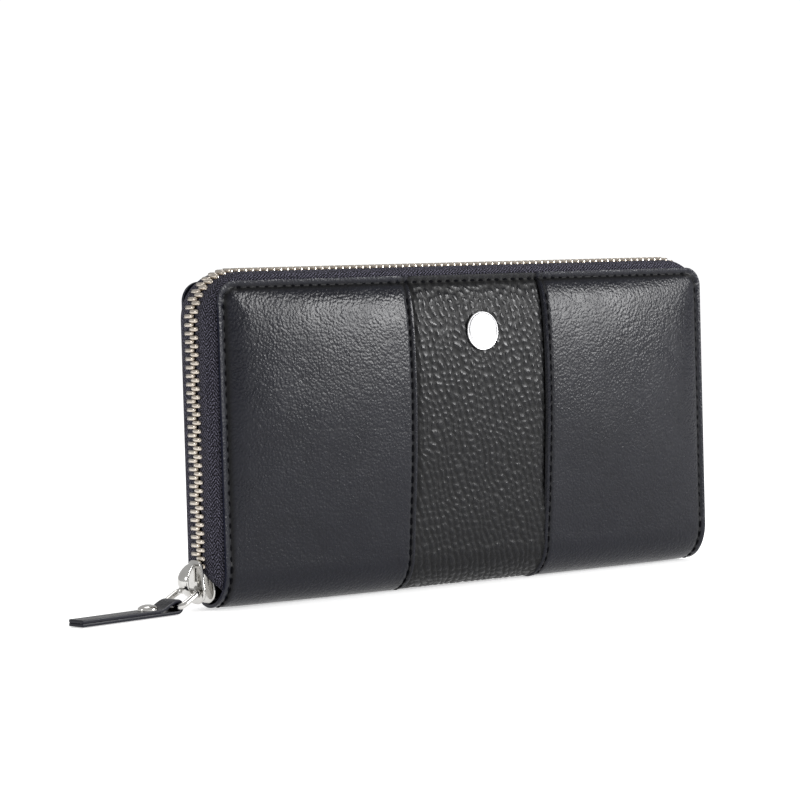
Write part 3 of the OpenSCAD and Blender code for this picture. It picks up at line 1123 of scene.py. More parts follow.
    def stitching(self) -> list[bpy.types.Object]:
        """All the lines of stitches that hold the cover together.

        Returns:
            The pieces.
        """
        made = []
        end_gap, on_rim, in_fold = 7, 0.02, -0.2
        runs = int(2 * (self.half_run - end_gap) / self.stitch_pitch)
        down = [(i - runs / 2) * self.stitch_pitch for i in range(runs + 1)]
        for end in End:
            edge_x = end.value * (self.half_width - self.seam_in)
            line = self.stitch_line(f"{end.word}_edge_stitches", [(edge_x, r) for r in down], on_rim)
            fold_x = end.value * (self.band_half - self.fold_in + self.seam_in)
            fold = self.stitch_line(f"{end.word}_fold_stitches", [(fold_x, r) for r in down], in_fold)
            for piece in (line, fold):
                self.wrap(piece)
                made.append(piece)
        count = int(2 * (self.half_width - self.corner) / self.stitch_pitch)
        for side in Side:
            run = side.value * (self.half_run - self.seam_in)
            spots = [((i - count / 2) * self.stitch_pitch, run) for i in range(count + 1)]
            line = self.stitch_line(f"{side.word}_top_stitches", spots, on_rim)
            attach(line, side.body)
            made.append(line)
        return made

    def pad(self, side: Side) -> bpy.types.Object:
        """The foam that fills the dome of one cover, under the leather.

        Args:
            side: The half that it belongs to.

        Returns:
            The piece.
        """
        low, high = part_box(f"{side.word}_padding")
        inner = min(abs(low.y), abs(high.y)) / MM
        end_gap, foot_gap, top_gap, under = 6, 12, 5, 0.5
        reach_x, z0, z1 = high.x / MM - end_gap, low.z / MM + foot_gap, high.z / MM - top_gap

        def place(a: float, b: float) -> Vector:
            """A point of the foam's domed face.

            Args:
                a: Share along the first direction, from 0 to 1.
                b: Share along the second direction, from 0 to 1.

            Returns:
                The point, in millimetres.
            """
            x, z = (2 * a - 1) * reach_x, z0 + (z1 - z0) * b
            run = side.value * (z - self.spine_z + self.spine_run)
            spot = self.point(x, run)
            y = max(inner + 0.1, abs(spot.y) - self.leather - self.recess - under)
            return Vector((spot.x, side.value * y, spot.z))

        obj = sheet(f"{side.word}_foam", 60, 34, place, self.centre)
        edit(obj, bpy.ops.mesh.extrude_region_move)
        flat = side.value * inner * MM
        for vertex in obj.data.vertices:
            if vertex.select:
                vertex.co.y = flat
        dress(smooth(face_out(obj)), FOAM)
        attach(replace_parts(obj, f"{side.word}_padding"), side.body)
        return obj


# ---- zip --------------------------------------------------------------------------


@dataclass
class Zip:
    """The main zip: two tapes and two rows of teeth round three sides."""

    cover: Cover
    bend: float = 14.0
    pitch: float = 2.5
    stand_off: float = 2.6
    edge_y: float = 8.9
    tape: float = 0.6
    tape_width: float = 14.0
    sewn: float = 3.4
    curl: float = 3.9
    lip_y: float = 1.5
    tail: float = 6.0
    tuck: float = 2.8
    tuck_y: float = 1.6
    first_z: float = 14.6
    first_gap: float = 0.4
    stop_drop: float = 1.2
    clamp: tuple[float, float, float] = (2.3, 2.6, 1.2)
    clamp_y: float = 1.9
    head: float = 1.4
    head_shrink: tuple[float, float, float] = (0.8, 1, 0.86)
    tooth_bevel: float = 0.24

    @property
    def path_x(self) -> float:
        """Where the corner arcs are centred along the width."""
        return self.cover.half_width + self.stand_off - self.bend

    @property
    def path_z(self) -> float:
        """Where the corner arcs are centred in height."""
        return self.cover.height + self.stand_off - self.bend

    def station(self, run: float, start: float) -> tuple[Vector, Vector, Vector]:
        """A place on the zip's middle line.

        Args:
            run: Distance from the left-hand end.
            start: Height of that end.

        Returns:
            The centre line's point there for the arcs, the outward and the onward direction.
        """
        side, arc = self.path_z - start, self.bend * math.pi / 2
        top = 2 * self.path_x
        up, right = Vector((0, 0, 1)), Vector((1, 0, 0))
        if run < side:
            return Vector((-self.path_x, 0, start + run)), -right, up
        run -= side
        if run < arc:
            t = run / self.bend
            out = -right * math.cos(t) + up * math.sin(t)
            return Vector((-self.path_x, 0, self.path_z)), out, self.onward(out)
        run -= arc
        if run < top:
            return Vector((-self.path_x + run, 0, self.path_z)), up, right
        run -= top
        if run < arc:
            t = run / self.bend
            out = up * math.cos(t) + right * math.sin(t)
            return Vector((self.path_x, 0, self.path_z)), out, self.onward(out)
        run -= arc
        return Vector((self.path_x, 0, self.path_z - run)), right, -up

    @staticmethod
    def onward(out: Vector) -> Vector:
        """The direction along the zip where it faces a given way."""
        return Vector((out.z, 0, -out.x))

    def length(self, start: float) -> float:
        """Length of the zip from one end to the other."""
        return 2 * (self.path_z - start) + self.bend * math.pi + 2 * self.path_x

    def woven_tape(self, side: Side) -> bpy.types.Object:
        """One tape: sewn under the cover's edge, rounding over to the teeth.

        Args:
            side: The half that it is sewn to.

        Returns:
            The piece.
        """
        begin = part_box(f"{side.word}_tape")[0].z / MM - self.tail
        total = self.length(begin)
        lip = self.bend - self.stand_off
        round_y = self.edge_y - self.curl
        flat_to, curl_to = 0.15, 0.65

        def place(a: float, b: float) -> Vector:
            """A point of the tape's outside.

            Args:
                a: Share along the first direction, from 0 to 1.
                b: Share along the second direction, from 0 to 1.

            Returns:
                The point, in millimetres.
            """
            run = a * total
            base, out, _ = self.station(run, begin)
            if b < flat_to:
                reach, y = lip - self.sewn * (1 - b / flat_to), self.edge_y
            elif b < curl_to:
                t = math.pi / 2 * (b - flat_to) / (curl_to - flat_to)
                reach, y = lip + self.stand_off * math.sin(t), round_y + self.curl * math.cos(t)
            else:
                reach, y = self.bend, round_y + (self.lip_y - round_y) * (b - curl_to) / (1 - curl_to)
            end = max(0.0, 1 - min(run, total - run) / self.tail)
            reach -= self.tuck * end * end
            y += (self.edge_y - self.tuck_y - y) * ease(end)
            return base + out * reach + Vector((0, side.value * y, 0))

        def unfold(a: float, b: float) -> tuple[float, float]:
            """The flat position of a place, in millimetres."""
            return a * total, b * self.tape_width

        obj = sheet(f"{side.word}_zip_tape", 300, 20, place, self.cover.centre, unfold)
        thicken(obj, self.tape * MM, -0.6)
        dress(smooth(obj, 60), TAPE)
        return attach(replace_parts(obj, f"{side.word}_tape"), side.body)

    def tooth(self) -> bpy.types.Object:
        """One tooth: a broad clamp on the tape and a rounded head over the middle line.

        Returns:
            The mesh to copy, in millimetres.
        """
        deselect()
        bpy.ops.mesh.primitive_cube_add(size=1)
        master = bpy.context.object
        size = Matrix.Diagonal((*self.clamp, 1))
        master.data.transform(Matrix.Translation((0, self.clamp_y, 0)) @ size)
        pick(master)
        bpy.ops.object.mode_set(mode="EDIT")
        bpy.ops.mesh.select_all(action="DESELECT")
        bpy.ops.object.mode_set(mode="OBJECT")
        head = min(master.data.polygons, key=lambda p: p.center.y)
        head.select = True
        bpy.ops.object.mode_set(mode="EDIT")
        bpy.ops.mesh.extrude_region_move(TRANSFORM_OT_translate={"value": (0, -self.head, 0)})
        bpy.ops.transform.resize(value=self.head_shrink)
        bpy.ops.mesh.select_all(action="SELECT")
        bpy.ops.mesh.bevel(offset=self.tooth_bevel, segments=1, affect="EDGES")
        bpy.ops.object.mode_set(mode="OBJECT")
        return master

    def teeth(self, side: Side) -> bpy.types.Object:
        """One row of teeth, set half a pitch from the other row.

        Args:
            side: The half that it belongs to.

        Returns:
            The piece.
        """
        total = self.length(self.first_z)
        count = int((total - self.pitch / 2) / self.pitch)
        lead = 0.25 if side is Side.FRONT else 0.75
        places = []
        for i in range(count):
            base, out, on = self.station(self.pitch * (i + lead) + self.first_gap, self.first_z)
            across = Vector((0, side.value, 0))
            spot = base + out * self.bend
            places.append(Matrix.Translation(spot) @ axes(out, across, on))
        obj = repeated(f"{side.word}_zip_teeth", self.tooth(), places)
        face_out(obj)
        dress(obj, TEETH)
        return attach(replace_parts(obj, f"{side.word}_teeth"), side.body)

    def stops(self, side: Side) -> bpy.types.Object:
        """The clamps below the first and the last tooth of one row.

        Args:
            side: The half that it belongs to.

        Returns:
            The piece.
        """
        places = []
        for end in End:
            out = Vector((end.value, 0, 0))
            spot = Vector((end.value * (self.path_x + self.bend), 0, self.first_z - self.stop_drop))
            places.append(Matrix.Translation(spot) @ axes(out, (0, side.value, 0), (0, 0, 1)))
        obj = repeated(f"{side.word}_zip_stops", self.tooth(), places)
        face_out(obj)
        dress(obj, TEETH)
        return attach(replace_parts(obj, f"{side.word}_stops"), side.body)


# ---- slider and pull --------------------------------------------------------------


CROWN_EYE = (4.2, 0.0, 4.0)


@dataclass
class Slider:
    """A zip slider: two plates and an arched crown that holds the pull."""

    body: str
    place: Matrix
    plate_node: str
    crown_node: str
    gap: float = 1.35
    plate: float = 0.8
    rise: float = 5.0
    arch_half: float = 2.85
    arch_start: float = 1.5
    arch_run: float = 10.8
    arch_drop: float = 0.75
    arch_wall: float = 0.75
    length: float = 13.0
    half: float = 4.0
    shoulder: float = 0.95
    foot_in: float = 0.9
    squareness: float = 0.55
    raised: float = 0.12

    def outline(self, turn: float) -> tuple[float, float]:
        """The shield's edge at an angle round its middle.

        Args:
            turn: The angle, in radians.

        Returns:
            Position across and along the slider.
        """
        shoulder_at, shoulder_span, foot_to = 0.26, 0.24, 0.14
        along = self.length / 2 + self.length / 2 * signed_power(math.sin(turn), self.squareness)
        share = along / self.length
        wider = self.shoulder * bell(share, shoulder_at, shoulder_span)
        half = self.half + wider - self.foot_in * ease((foot_to - share) / foot_to)
        return half * signed_power(math.cos(turn), self.squareness), along

    def shield(self, name: str, low: float) -> bpy.types.Object:
        """One plate, from its outline.

        Args:
            name: The piece's name.
            low: Height of its underside above the chain.

        Returns:
            The piece.
        """
        deselect()
        bpy.ops.mesh.primitive_circle_add(vertices=56, radius=1, fill_type="NGON")
        obj = bpy.context.object
        obj.name = obj.data.name = name
        for vertex in obj.data.vertices:
            across, along = self.outline(math.atan2(vertex.co.y, vertex.co.x))
            vertex.co = Vector((low, across, along))
        pick(obj)
        bpy.ops.object.mode_set(mode="EDIT")
        bpy.ops.mesh.select_all(action="SELECT")
        bpy.ops.mesh.extrude_region_move(TRANSFORM_OT_translate={"value": (self.plate, 0, 0)})
        bpy.ops.mesh.inset(thickness=0.35)
        bpy.ops.transform.translate(value=(self.raised, 0, 0))
        bpy.ops.mesh.select_all(action="SELECT")
        bpy.ops.mesh.normals_make_consistent(inside=False)
        bpy.ops.object.mode_set(mode="OBJECT")
        bevel(obj, 0.25, 50)
        return smooth(obj, 35)

    def crown(self, name: str) -> bpy.types.Object:
        """The arch over the outer plate, broad and domed across.

        Args:
            name: The piece's name.

        Returns:
            The piece, in millimetres.
        """
        foot = self.gap + self.plate

        def place(a: float, b: float) -> Vector:
            """A point of the arch's outside.

            Args:
                a: Share along the first direction, from 0 to 1.
                b: Share along the second direction, from 0 to 1.

            Returns:
                The point, in millimetres.
            """
            t = 0.02 + 0.96 * b
            half = self.arch_half * (0.52 + 0.48 * math.sin(math.pi * t) ** 0.8)
            across = (2 * a - 1) * half
            rise = self.rise * math.sin(math.pi * t) ** 0.6
            dome = -self.arch_drop * (across / half) ** 2 * math.sin(math.pi * t)
            return Vector((foot + rise + dome, across, self.arch_start + self.arch_run * t))

        obj = sheet(name, 10, 24, place, Vector((0, 0, 6)))
        to_mm(obj)
        thicken(obj, self.arch_wall, -1)
        bevel(obj, 0.2, 50)
        return smooth(obj, 45)

    def build(self) -> None:
        """Makes the slider and puts it on its body."""
        outer = self.shield(f"{self.body}_outer_plate", self.gap)
        inner = self.shield(f"{self.body}_inner_plate", -self.gap - self.plate - self.raised)
        arch = self.crown(f"{self.body}_arch")
        for obj in (outer, inner, arch):
            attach(dress(placed(obj, self.place), NICKEL), self.body)
        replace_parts(outer, self.plate_node)
        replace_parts(arch, self.crown_node)


@dataclass
class Pull:
    """The pull: a wire link in the slider's crown and a folded leather tab with a rivet."""

    eye: Vector
    yaw: float = math.radians(9.6)
    drop: float = math.radians(27.6)
    link: float = 8.0
    arm_y: float = 4.4
    wire: float = 0.95
    tab: float = 36.0
    tab_half: float = 3.1
    loop: float = 2.2
    layer: float = 1.0
    rivet_x: float = -9.1

    @property
    def pull_place(self) -> Matrix:
        """The eye's place, with X towards the wallet."""
        return Matrix.Translation(self.eye) @ Matrix.Rotation(self.yaw, 4, "Z")

    @property
    def tab_place(self) -> Matrix:
        """The place of the link's outer bar, level."""
        step = Vector((-self.link * math.cos(self.drop), 0, -self.link * math.sin(self.drop)))
        return self.pull_place @ Matrix.Translation(step)

    def wire_link(self) -> bpy.types.Object:
        """The rectangular wire link, one closed ring of round wire.

        Returns:
            The piece.
        """
        thin, power = 0.1, 0.38
        deselect()
        bpy.ops.mesh.primitive_torus_add(major_segments=64, minor_segments=14, major_radius=1,
                                         minor_radius=thin)
        obj = bpy.context.object
        obj.name = obj.data.name = "pull_wire"
        for vertex in obj.data.vertices:
            co = vertex.co
            turn = math.atan2(co.y, co.x)
            ring = math.hypot(co.x, co.y) - 1
            c, s = math.cos(turn), math.sin(turn)
            core = Vector((-self.link / 2 + self.link / 2 * signed_power(c, power),
                           self.arm_y * signed_power(s, power), 0))
            out = Vector((c, s, 0))
            wide = self.wire / thin
            vertex.co = core + out * ring * wide + Vector((0, 0, co.z * wide))
        tilt = Matrix.Rotation(-self.drop, 4, "Y")
        obj = smooth(placed(obj, self.pull_place @ tilt))
        dress(obj, NICKEL)
        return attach(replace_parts(obj, "pull_link"), "pull_link")

    def strap_line(self, share: float) -> Vector:
        """Middle of the strap's thickness: along the underside, round the bar and back.

        Args:
            share: Share of the way, from 0 to 1.

        Returns:
            The point, in millimetres.
        """
        shorter = 1.0
        straight = self.tab - shorter
        turn_r = self.loop - self.layer / 2
        arc = turn_r * math.pi
        slope = 7.0
        total = straight + arc + self.tab
        run = share * total
        low = -self.loop + self.layer / 2
        if run < straight:
            return Vector((-self.tab + run * (self.tab / straight), 0, low))
        run -= straight
        if run < arc:
            t = run / turn_r
            return Vector((turn_r * math.sin(t), 0, -turn_r * math.cos(t)))
        run -= arc
        back = min(run, self.tab)
        settled = low + self.layer + 0.04
        z = turn_r + (settled - turn_r) * ease(back / slope)
        return Vector((-back, 0, z))

    def strap(self) -> bpy.types.Object:
        """The leather tab, one strip folded on itself.

        Returns:
            The piece.
        """
        along, across = 130, 10

        def place(a: float, b: float) -> Vector:
            """A point of the folded strip.

            Args:
                a: Share along the first direction, from 0 to 1.
                b: Share along the second direction, from 0 to 1.

            Returns:
                The point, in millimetres.
            """
            spot = self.strap_line(a)
            spot.y = (2 * b - 1) * self.tab_half
            return spot

        obj = sheet("tab_strap", along, across, place, Vector((-10, 0, -self.loop / 2)),
                    lambda a, b: (a * 80, b * 2 * self.tab_half))
        dress(to_mm(obj), SMOOTH, rim=EDGE)
        thicken(obj, self.layer, 0, rim=True)
        bevel(obj, 0.18, 60)
        smooth(placed(obj, self.tab_place), 40)
        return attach(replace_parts(obj, "tab_leather"), "pull_tab")

    def rivet(self) -> bpy.types.Object:
        """The domed rivet through the tab.

        Returns:
            The piece.
        """
        cap, rise = 3.0, 1.4
        dome = [(cap * math.cos(math.radians(t)), 0.25 + rise * math.sin(math.radians(t)))
                for t in range(0, 86, 12)]
        place = self.tab_place @ Matrix.Translation((self.rivet_x, 0, -0.15))
        obj = turned("tab_rivet_cap", [(cap, 0.0), *dome], place)
        dress(obj, NICKEL)
        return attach(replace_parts(obj, "tab_rivet"), "pull_tab")

    def build(self) -> None:
        """Makes the pull's three pieces."""
        self.wire_link()
        self.strap()
        self.rivet()


@dataclass
class Badge:
    """The plain round plate on the band."""

    cover: Cover
    x: float = 0.6
    z: float = 79.4
    radius: float = 6.0

    def build(self) -> bpy.types.Object:
        """Makes the plate, square to the leather.

        Returns:
            The piece.
        """
        run = -(self.z - self.cover.spine_z + self.cover.spine_run)
        out = self.cover.outward(self.x, run)
        here = self.cover.point(self.x, run, plain=True) - out * 0.7
        turn = out.to_track_quat("Z", "Y").to_matrix().to_4x4()
        r = self.radius
        dome = [(r * 0.93 * math.cos(math.radians(t)), 0.85 + 0.4 * math.sin(math.radians(t)))
                for t in range(10, 86, 15)]
        profile = [(r * 0.97, 0.0), (r, 0.25), (r, 0.7), (r * 0.97, 0.88), (r * 0.93, 0.85), *dome]
        obj = turned("badge_plate", profile, Matrix.Translation(here) @ turn)
        dress(obj, POLISHED)
        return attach(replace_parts(obj, "badge_disc"), Side.FRONT.body)


# ---- inside -----------------------------------------------------------------------


@dataclass
class Inside:
    """Linings, gussets, card pockets and the cloth that ties the coin pocket to the spine."""

    cover: Cover
    cloth: float = 0.35
    pockets: int = 4
    step: float = 11.0
    lining_corner: float = 10.6
    lining_cloth: float = 0.2
    tongue_cloth: float = 0.5
    pocket_face: float = 2.9
    gusset_foot_top: float = 63
    lip: float = 2.2
    lip_height: float = 0.07

    def spine_cloth(self) -> bpy.types.Object:
        """The cloth that lines the spine from one cover to the other.

        Returns:
            The piece.
        """
        cover = self.cover
        top = cover.spine_run + 2.5
        reach = cover.half_width - 1.2

        def place(a: float, b: float) -> Vector:
            """A point of the cloth.

            Args:
                a: Share along the first direction, from 0 to 1.
                b: Share along the second direction, from 0 to 1.

            Returns:
                The point, in millimetres.
            """
            x, run = (2 * a - 1) * reach, (2 * b - 1) * top
            spot = cover.point(x, run, plain=True)
            return spot - cover.outward(x, run) * 2.2

        obj = sheet("spine_cloth", 60, 40, place, cover.centre, lambda a, b: (a * 2 * reach, b * 2 * top))
        thicken(obj, self.cloth * MM, -1)
        dress(smooth(obj, 60), LINING)
        cover.wrap(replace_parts(obj, "spine_lining"))
        return obj

    def gusset(self, side: Side, end: End) -> bpy.types.Object:
        """One gusset between a cover and the coin pocket, shaped as folded cloth.

        Args:
            side: The cover that it is sewn to.
            end: The end of the wallet that it closes.

        Returns:
            The piece.
        """
        node = f"{side.word}_gusset_{end.word}"
        low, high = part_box(node)
        far = max(abs(low.y), abs(high.y)) / MM - 0.3
        out_x = max(abs(low.x), abs(high.x)) / MM
        fold_x = min(abs(low.x), abs(high.x)) / MM
        z0, z1 = low.z / MM, high.z / MM
        near = self.pocket_face

        def place(a: float, b: float) -> Vector:
            """A point of the folded cloth.

            Args:
                a: Share along the first direction, from 0 to 1.
                b: Share along the second direction, from 0 to 1.

            Returns:
                The point, in millimetres.
            """
            depth = 1 - abs(2 * a - 1)
            soft = depth * depth * (3 - 2 * depth) * 0.35 + depth * 0.65
            x = out_x - (out_x - fold_x - 1.0) * soft
            sag = 0.35 * math.sin(math.pi * b) * math.sin(2 * math.pi * a)
            top = self.gusset_foot_top + (z1 - 2 - self.gusset_foot_top) * ease(a)
            y = near + (far - near) * a + sag
            return Vector((end.value * x, side.value * y, z0 + (top - z0) * b))

        back = Vector((0, side.value * 20, 50))
        obj = sheet(node + "_cloth", 32, 24, place, back, lambda a, b: (a * 33, b * (z1 - z0)))
        thicken(obj, self.cloth * MM, 0)
        dress(smooth(obj, 60), LINING)
        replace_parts(obj, node)
        z = z0 * MM
        if side is Side.REAR:
            start, finish = (0, far * MM, z), (0, near * MM, z)
            Side.REAR.body
            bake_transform(obj)
            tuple(start)
            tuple(finish)
        else:
            start, finish = (0, (far - 2 * near) * MM, z), (0, -far * MM, z)
            Side.REAR.body
            Side.FRONT.body
            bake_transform(obj)
            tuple(start)
            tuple(finish)
        return obj

    def card_pockets(self, side: Side, end: End) -> None:
        """Stepped leather card pockets, each with a turned top edge, on half of a cover's inner face.

        Args:
            side: The cover.
            end: Its half.
        """
        node = f"{side.word}_card_slots_{end.word}"
        low, high = (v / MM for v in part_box(node))
        layer = (high.y - low.y) / self.pockets
        lining_y = low.y if side is Side.FRONT else high.y
        for i in range(self.pockets):
            middle = lining_y - side.value * layer * (i + 0.5)
            top = high.z - self.step * i

            def place(a: float, b: float, middle: float = middle, top: float = top) -> Vector:
                """A point of one pocket.

                Args:
                    a: Share along the first direction, from 0 to 1.
                    b: Share along the second direction, from 0 to 1.
                    middle: Position of the pocket's middle across the wallet.
                    top: Height of its top edge.

                Returns:
                    The point, in millimetres.
                """
                z = low.z + (top - low.z) * b
                turned_edge = self.lip_height * ease((z - top + self.lip) / 0.6)
                wander = 0.03 * noise.noise(Vector((a * 5, z / 14, middle)))
                return Vector((low.x + (high.x - low.x) * a, middle - side.value * (turned_edge + wander), z))

            obj = sheet(f"{node}_pocket_{i + 1}", 40, 40, place, Vector((0, side.value * 40, 50)),
                        lambda a, b: (a * 68, b * 60))
            thicken(obj, (layer - 0.08) * MM, 0)
            bevel(obj, 0.07 * MM, 60)
            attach(dress(smooth(obj), SMOOTH), side.body)
            if i == 0:
                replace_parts(obj, node)

    def lining(self, side: Side) -> bpy.types.Object:
        """The cloth on a cover's inner face, with corners that follow the zip's.

        Args:
            side: The half that it belongs to.

        Returns:
            The piece.
        """
        low, high = (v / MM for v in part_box(f"{side.word}_lining"))
        wide, tall = high.x - low.x, high.z - low.z

        def place(a: float, b: float) -> Vector:
            """A point of the cloth.

            Args:
                a: Share along the first direction, from 0 to 1.
                b: Share along the second direction, from 0 to 1.

            Returns:
                The point, in millimetres.
            """
            x, z, gap = round_corner((a - 0.5) * wide, low.z + tall * b, high.x, high.z, self.lining_corner)
            ripple = 0.05 * wave(x, z, wide=9, tall=9, seed=4.0 * side.value)
            return Vector((x, (low.y + high.y) / 2 + ripple, z))

        obj = sheet(f"{side.word}_lining_cloth", 90, 44, place, Vector((0, side.value * 40, 50)),
                    lambda a, b: (a * wide, b * tall))
        thicken(obj, self.lining_cloth * MM, 0)
        dress(smooth(obj, 60), LINING)
        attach(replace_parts(obj, f"{side.word}_lining"), side.body)
        return obj

    def tongue(self) -> bpy.types.Object:
        """The cloth that ties the coin pocket to the spine.

        Returns:
            The piece.
        """
        low, high = (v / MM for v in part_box("pocket_tongue"))

        def place(a: float, b: float) -> Vector:
            """A point of the cloth."""
            return Vector((low.x + (high.x - low.x) * a, 0, low.z + (high.z - low.z) * b))

        obj = sheet("pocket_tongue_cloth", 60, 12, place, Vector((0, 20, 10)),
                    lambda a, b: (a * 176, b * (high.z - low.z)))
        thicken(obj, self.tongue_cloth * MM, 0)
        dress(smooth(obj, 60), LINING)
        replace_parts(obj, "pocket_tongue")
        Side.REAR.body
        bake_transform(obj)
        return obj

    def build(self) -> None:
        """Makes everything inside the cover."""
        self.spine_cloth()
        self.tongue()
        for side in Side:
            self.lining(side)
            for end in End:
                self.gusset(side, end)
                self.card_pockets(side, end)


@dataclass
class CoinPocket:
    """The zipped coin pocket that stands between the covers."""

    chain: Zip
    half_x: float = 90.0
    wall: float = 0.5
    scale: float = 0.62
    run: float = 150.0
    pitch: float = 2.1
    zip_z: float = 71.2
    slider_x: float = 68.0
    tape_cloth: float = 0.36
    bound_in: float = 0.5
    bound: float = 0.6
    bound_up: float = 0.5
    bound_corner: float = 3.0
    pull_wall: float = 1.1
    eye: Vector = field(default_factory=lambda: Vector(CROWN_EYE))

    def leather_wall(self, side: Side) -> bpy.types.Object:
        """One wall, upright and then wider at the mouth.

        Args:
            side: The half that it belongs to.

        Returns:
            The piece.
        """
        node = f"coin_pocket_{side.word}"
        low, high = (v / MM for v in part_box(node))
        inner = 2.1 + self.wall / 2
        mouth = max(abs(low.y), abs(high.y)) - self.wall / 2

        def place(a: float, b: float) -> Vector:
            """A point of the wall.

            Args:
                a: Share along the first direction, from 0 to 1.
                b: Share along the second direction, from 0 to 1.

            Returns:
                The point, in millimetres.
            """
            z = low.z + (high.z - low.z - 0.3) * b
            y = inner + (mouth - inner) * ease((z - 65) / 3.6)
            return Vector(((2 * a - 1) * self.half_x, side.value * y, z))

        obj = sheet(f"{node}_leather", 70, 60, place, Vector((0, 0, 45)), lambda a, b: (a * 180, b * 55))
        thicken(obj, (self.wall - 0.06) * MM, 0)
        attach(dress(smooth(obj), SMOOTH), "divider")
        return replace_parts(obj, node)

    def binding(self) -> bpy.types.Object:
        """The strip that closes the foot and both ends.

        Returns:
            The piece.
        """
        low, high = (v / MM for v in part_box("coin_pocket_binding"))
        tall, wide, r = high.z - low.z, 2 * (self.half_x - self.bound_in), self.bound_corner
        foot, quarter = low.z + self.bound_up, math.pi / 2 * r
        total = 2 * (tall - r) + wide - 2 * r + math.pi * r

        def route(run: float) -> Vector:
            """The strip's middle line: down one end, along the foot and up the other.

            Args:
                run: Distance along the strip.

            Returns:
                The point, in millimetres.
            """
            if run < tall - r:
                return Vector((-wide / 2, 0, high.z - run))
            run -= tall - r
            if run < quarter:
                t = run / r
                return Vector((-wide / 2 + r - r * math.cos(t), 0, foot + r - r * math.sin(t)))
            run -= quarter
            if run < wide - 2 * r:
                return Vector((-wide / 2 + r + run, 0, foot))
            run -= wide - 2 * r
            if run < quarter:
                t = run / r
                return Vector((wide / 2 - r + r * math.sin(t), 0, foot + r - r * math.cos(t)))
            return Vector((wide / 2, 0, foot + r + run - quarter))

        def place(a: float, b: float) -> Vector:
            """A point of the strip.

            Args:
                a: Share along the first direction, from 0 to 1.
                b: Share along the second direction, from 0 to 1.

            Returns:
                The point, in millimetres.
            """
            spot = route(a * total)
            spot.y = (2 * b - 1) * (high.y - 0.05)
            return Vector((spot.x, spot.y, min(spot.z, high.z)))

        obj = sheet("coin_binding", 150, 6, place, Vector((0, 0, 45)), lambda a, b: (a * total, b * 4))
        thicken(obj, self.bound * MM, -1)
        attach(dress(smooth(obj, 60), LINING), "divider")
        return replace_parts(obj, "coin_pocket_binding")

    def tape(self, side: Side) -> bpy.types.Object:
        """One of the small zip's tapes.

        Args:
            side: The half that it belongs to.

        Returns:
            The piece.
        """
        node = f"coin_tape_{side.word}"
        low, high = (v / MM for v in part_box(node))

        def place(a: float, b: float) -> Vector:
            """A point of the tape."""
            y = low.y + (high.y - low.y) * b
            return Vector(((2 * a - 1) * self.half_x, y, self.zip_z))

        obj = sheet(f"{node}_cloth", 150, 6, place, Vector((0, 0, 0)), lambda a, b: (a * 180, b * 3))
        thicken(obj, self.tape_cloth * MM, 0)
        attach(dress(smooth(obj, 60), TAPE), "divider")
        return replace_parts(obj, node)

    def tooth_place(self, x: float, side: Side) -> Matrix:
        """The place of a tooth of the small zip."""
        turn = axes((0, 0, 1), (0, side.value, 0), (-1, 0, 0))
        return Matrix.Translation((x, 0, self.zip_z)) @ turn @ Matrix.Scale(self.scale, 4)

    def teeth(self, side: Side) -> bpy.types.Object:
        """One row of the small zip's teeth.

        Args:
            side: The half that it belongs to.

        Returns:
            The piece.
        """
        lead = 0.25 if side is Side.FRONT else 0.75
        places = [self.tooth_place(-self.run / 2 + self.pitch * (i + lead), side)
                  for i in range(int(self.run / self.pitch))]
        obj = repeated(f"coin_zip_teeth_{side.word}", self.chain.tooth(), places)
        face_out(obj)
        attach(dress(obj, TEETH), "divider")
        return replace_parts(obj, f"coin_teeth_{side.word}")

    def stops(self) -> bpy.types.Object:
        """The clamps at both ends of the small zip.

        Returns:
            The piece.
        """
        places = [self.tooth_place(end.value * (self.run / 2 + 1.6), side) for end in End for side in Side]
        obj = repeated("coin_zip_stops", self.chain.tooth(), places)
        face_out(obj)
        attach(dress(obj, TEETH), "divider")
        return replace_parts(obj, "coin_stops")

    def flat_pull(self, slider_place: Matrix) -> bpy.types.Object:
        """The small slider's pull: a flat metal tongue with a window for the crown.

        Args:
            slider_place: The place of the slider that holds it.

        Returns:
            The piece.
        """

        def ring(turn: float, half_y: float, high_z: float, low_z: float) -> Vector:
            """A point of a ring with squared corners.

            Args:
                turn: The angle round the ring, in radians.
                half_y: Half the ring's width.
                high_z: Its highest point.
                low_z: Its lowest point.

            Returns:
                The point, in millimetres.
            """
            c, s = math.cos(turn), math.sin(turn)
            y = half_y * signed_power(c, 0.4)
            z = (high_z + low_z) / 2 + (high_z - low_z) / 2 * signed_power(s, 0.4)
            return Vector((0, y, z))

        def place(a: float, b: float) -> Vector:
            """A point between the window's edge and the tongue's outline.

            Args:
                a: Share along the first direction, from 0 to 1.
                b: Share along the second direction, from 0 to 1.

            Returns:
                The point, in millimetres.
            """
            window = ring(2 * math.pi * a, 2.1, -0.7, -6.2)
            edge = ring(2 * math.pi * a, 3.7, 0.7, -20)
            return window.lerp(edge, b)

        obj = sheet("coin_pull_tongue", 56, 4, place, Vector((-10, 0, -9)))
        to_mm(obj)
        edit(obj, lambda: bpy.ops.mesh.remove_doubles(threshold=0.001))
        thicken(obj, self.pull_wall, 0)
        bevel(obj, 0.25, 50)
        smooth(placed(obj, slider_place @ Matrix.Translation(self.eye)))
        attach(dress(obj, NICKEL), "coin_pull")
        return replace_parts(obj, "coin_pull")

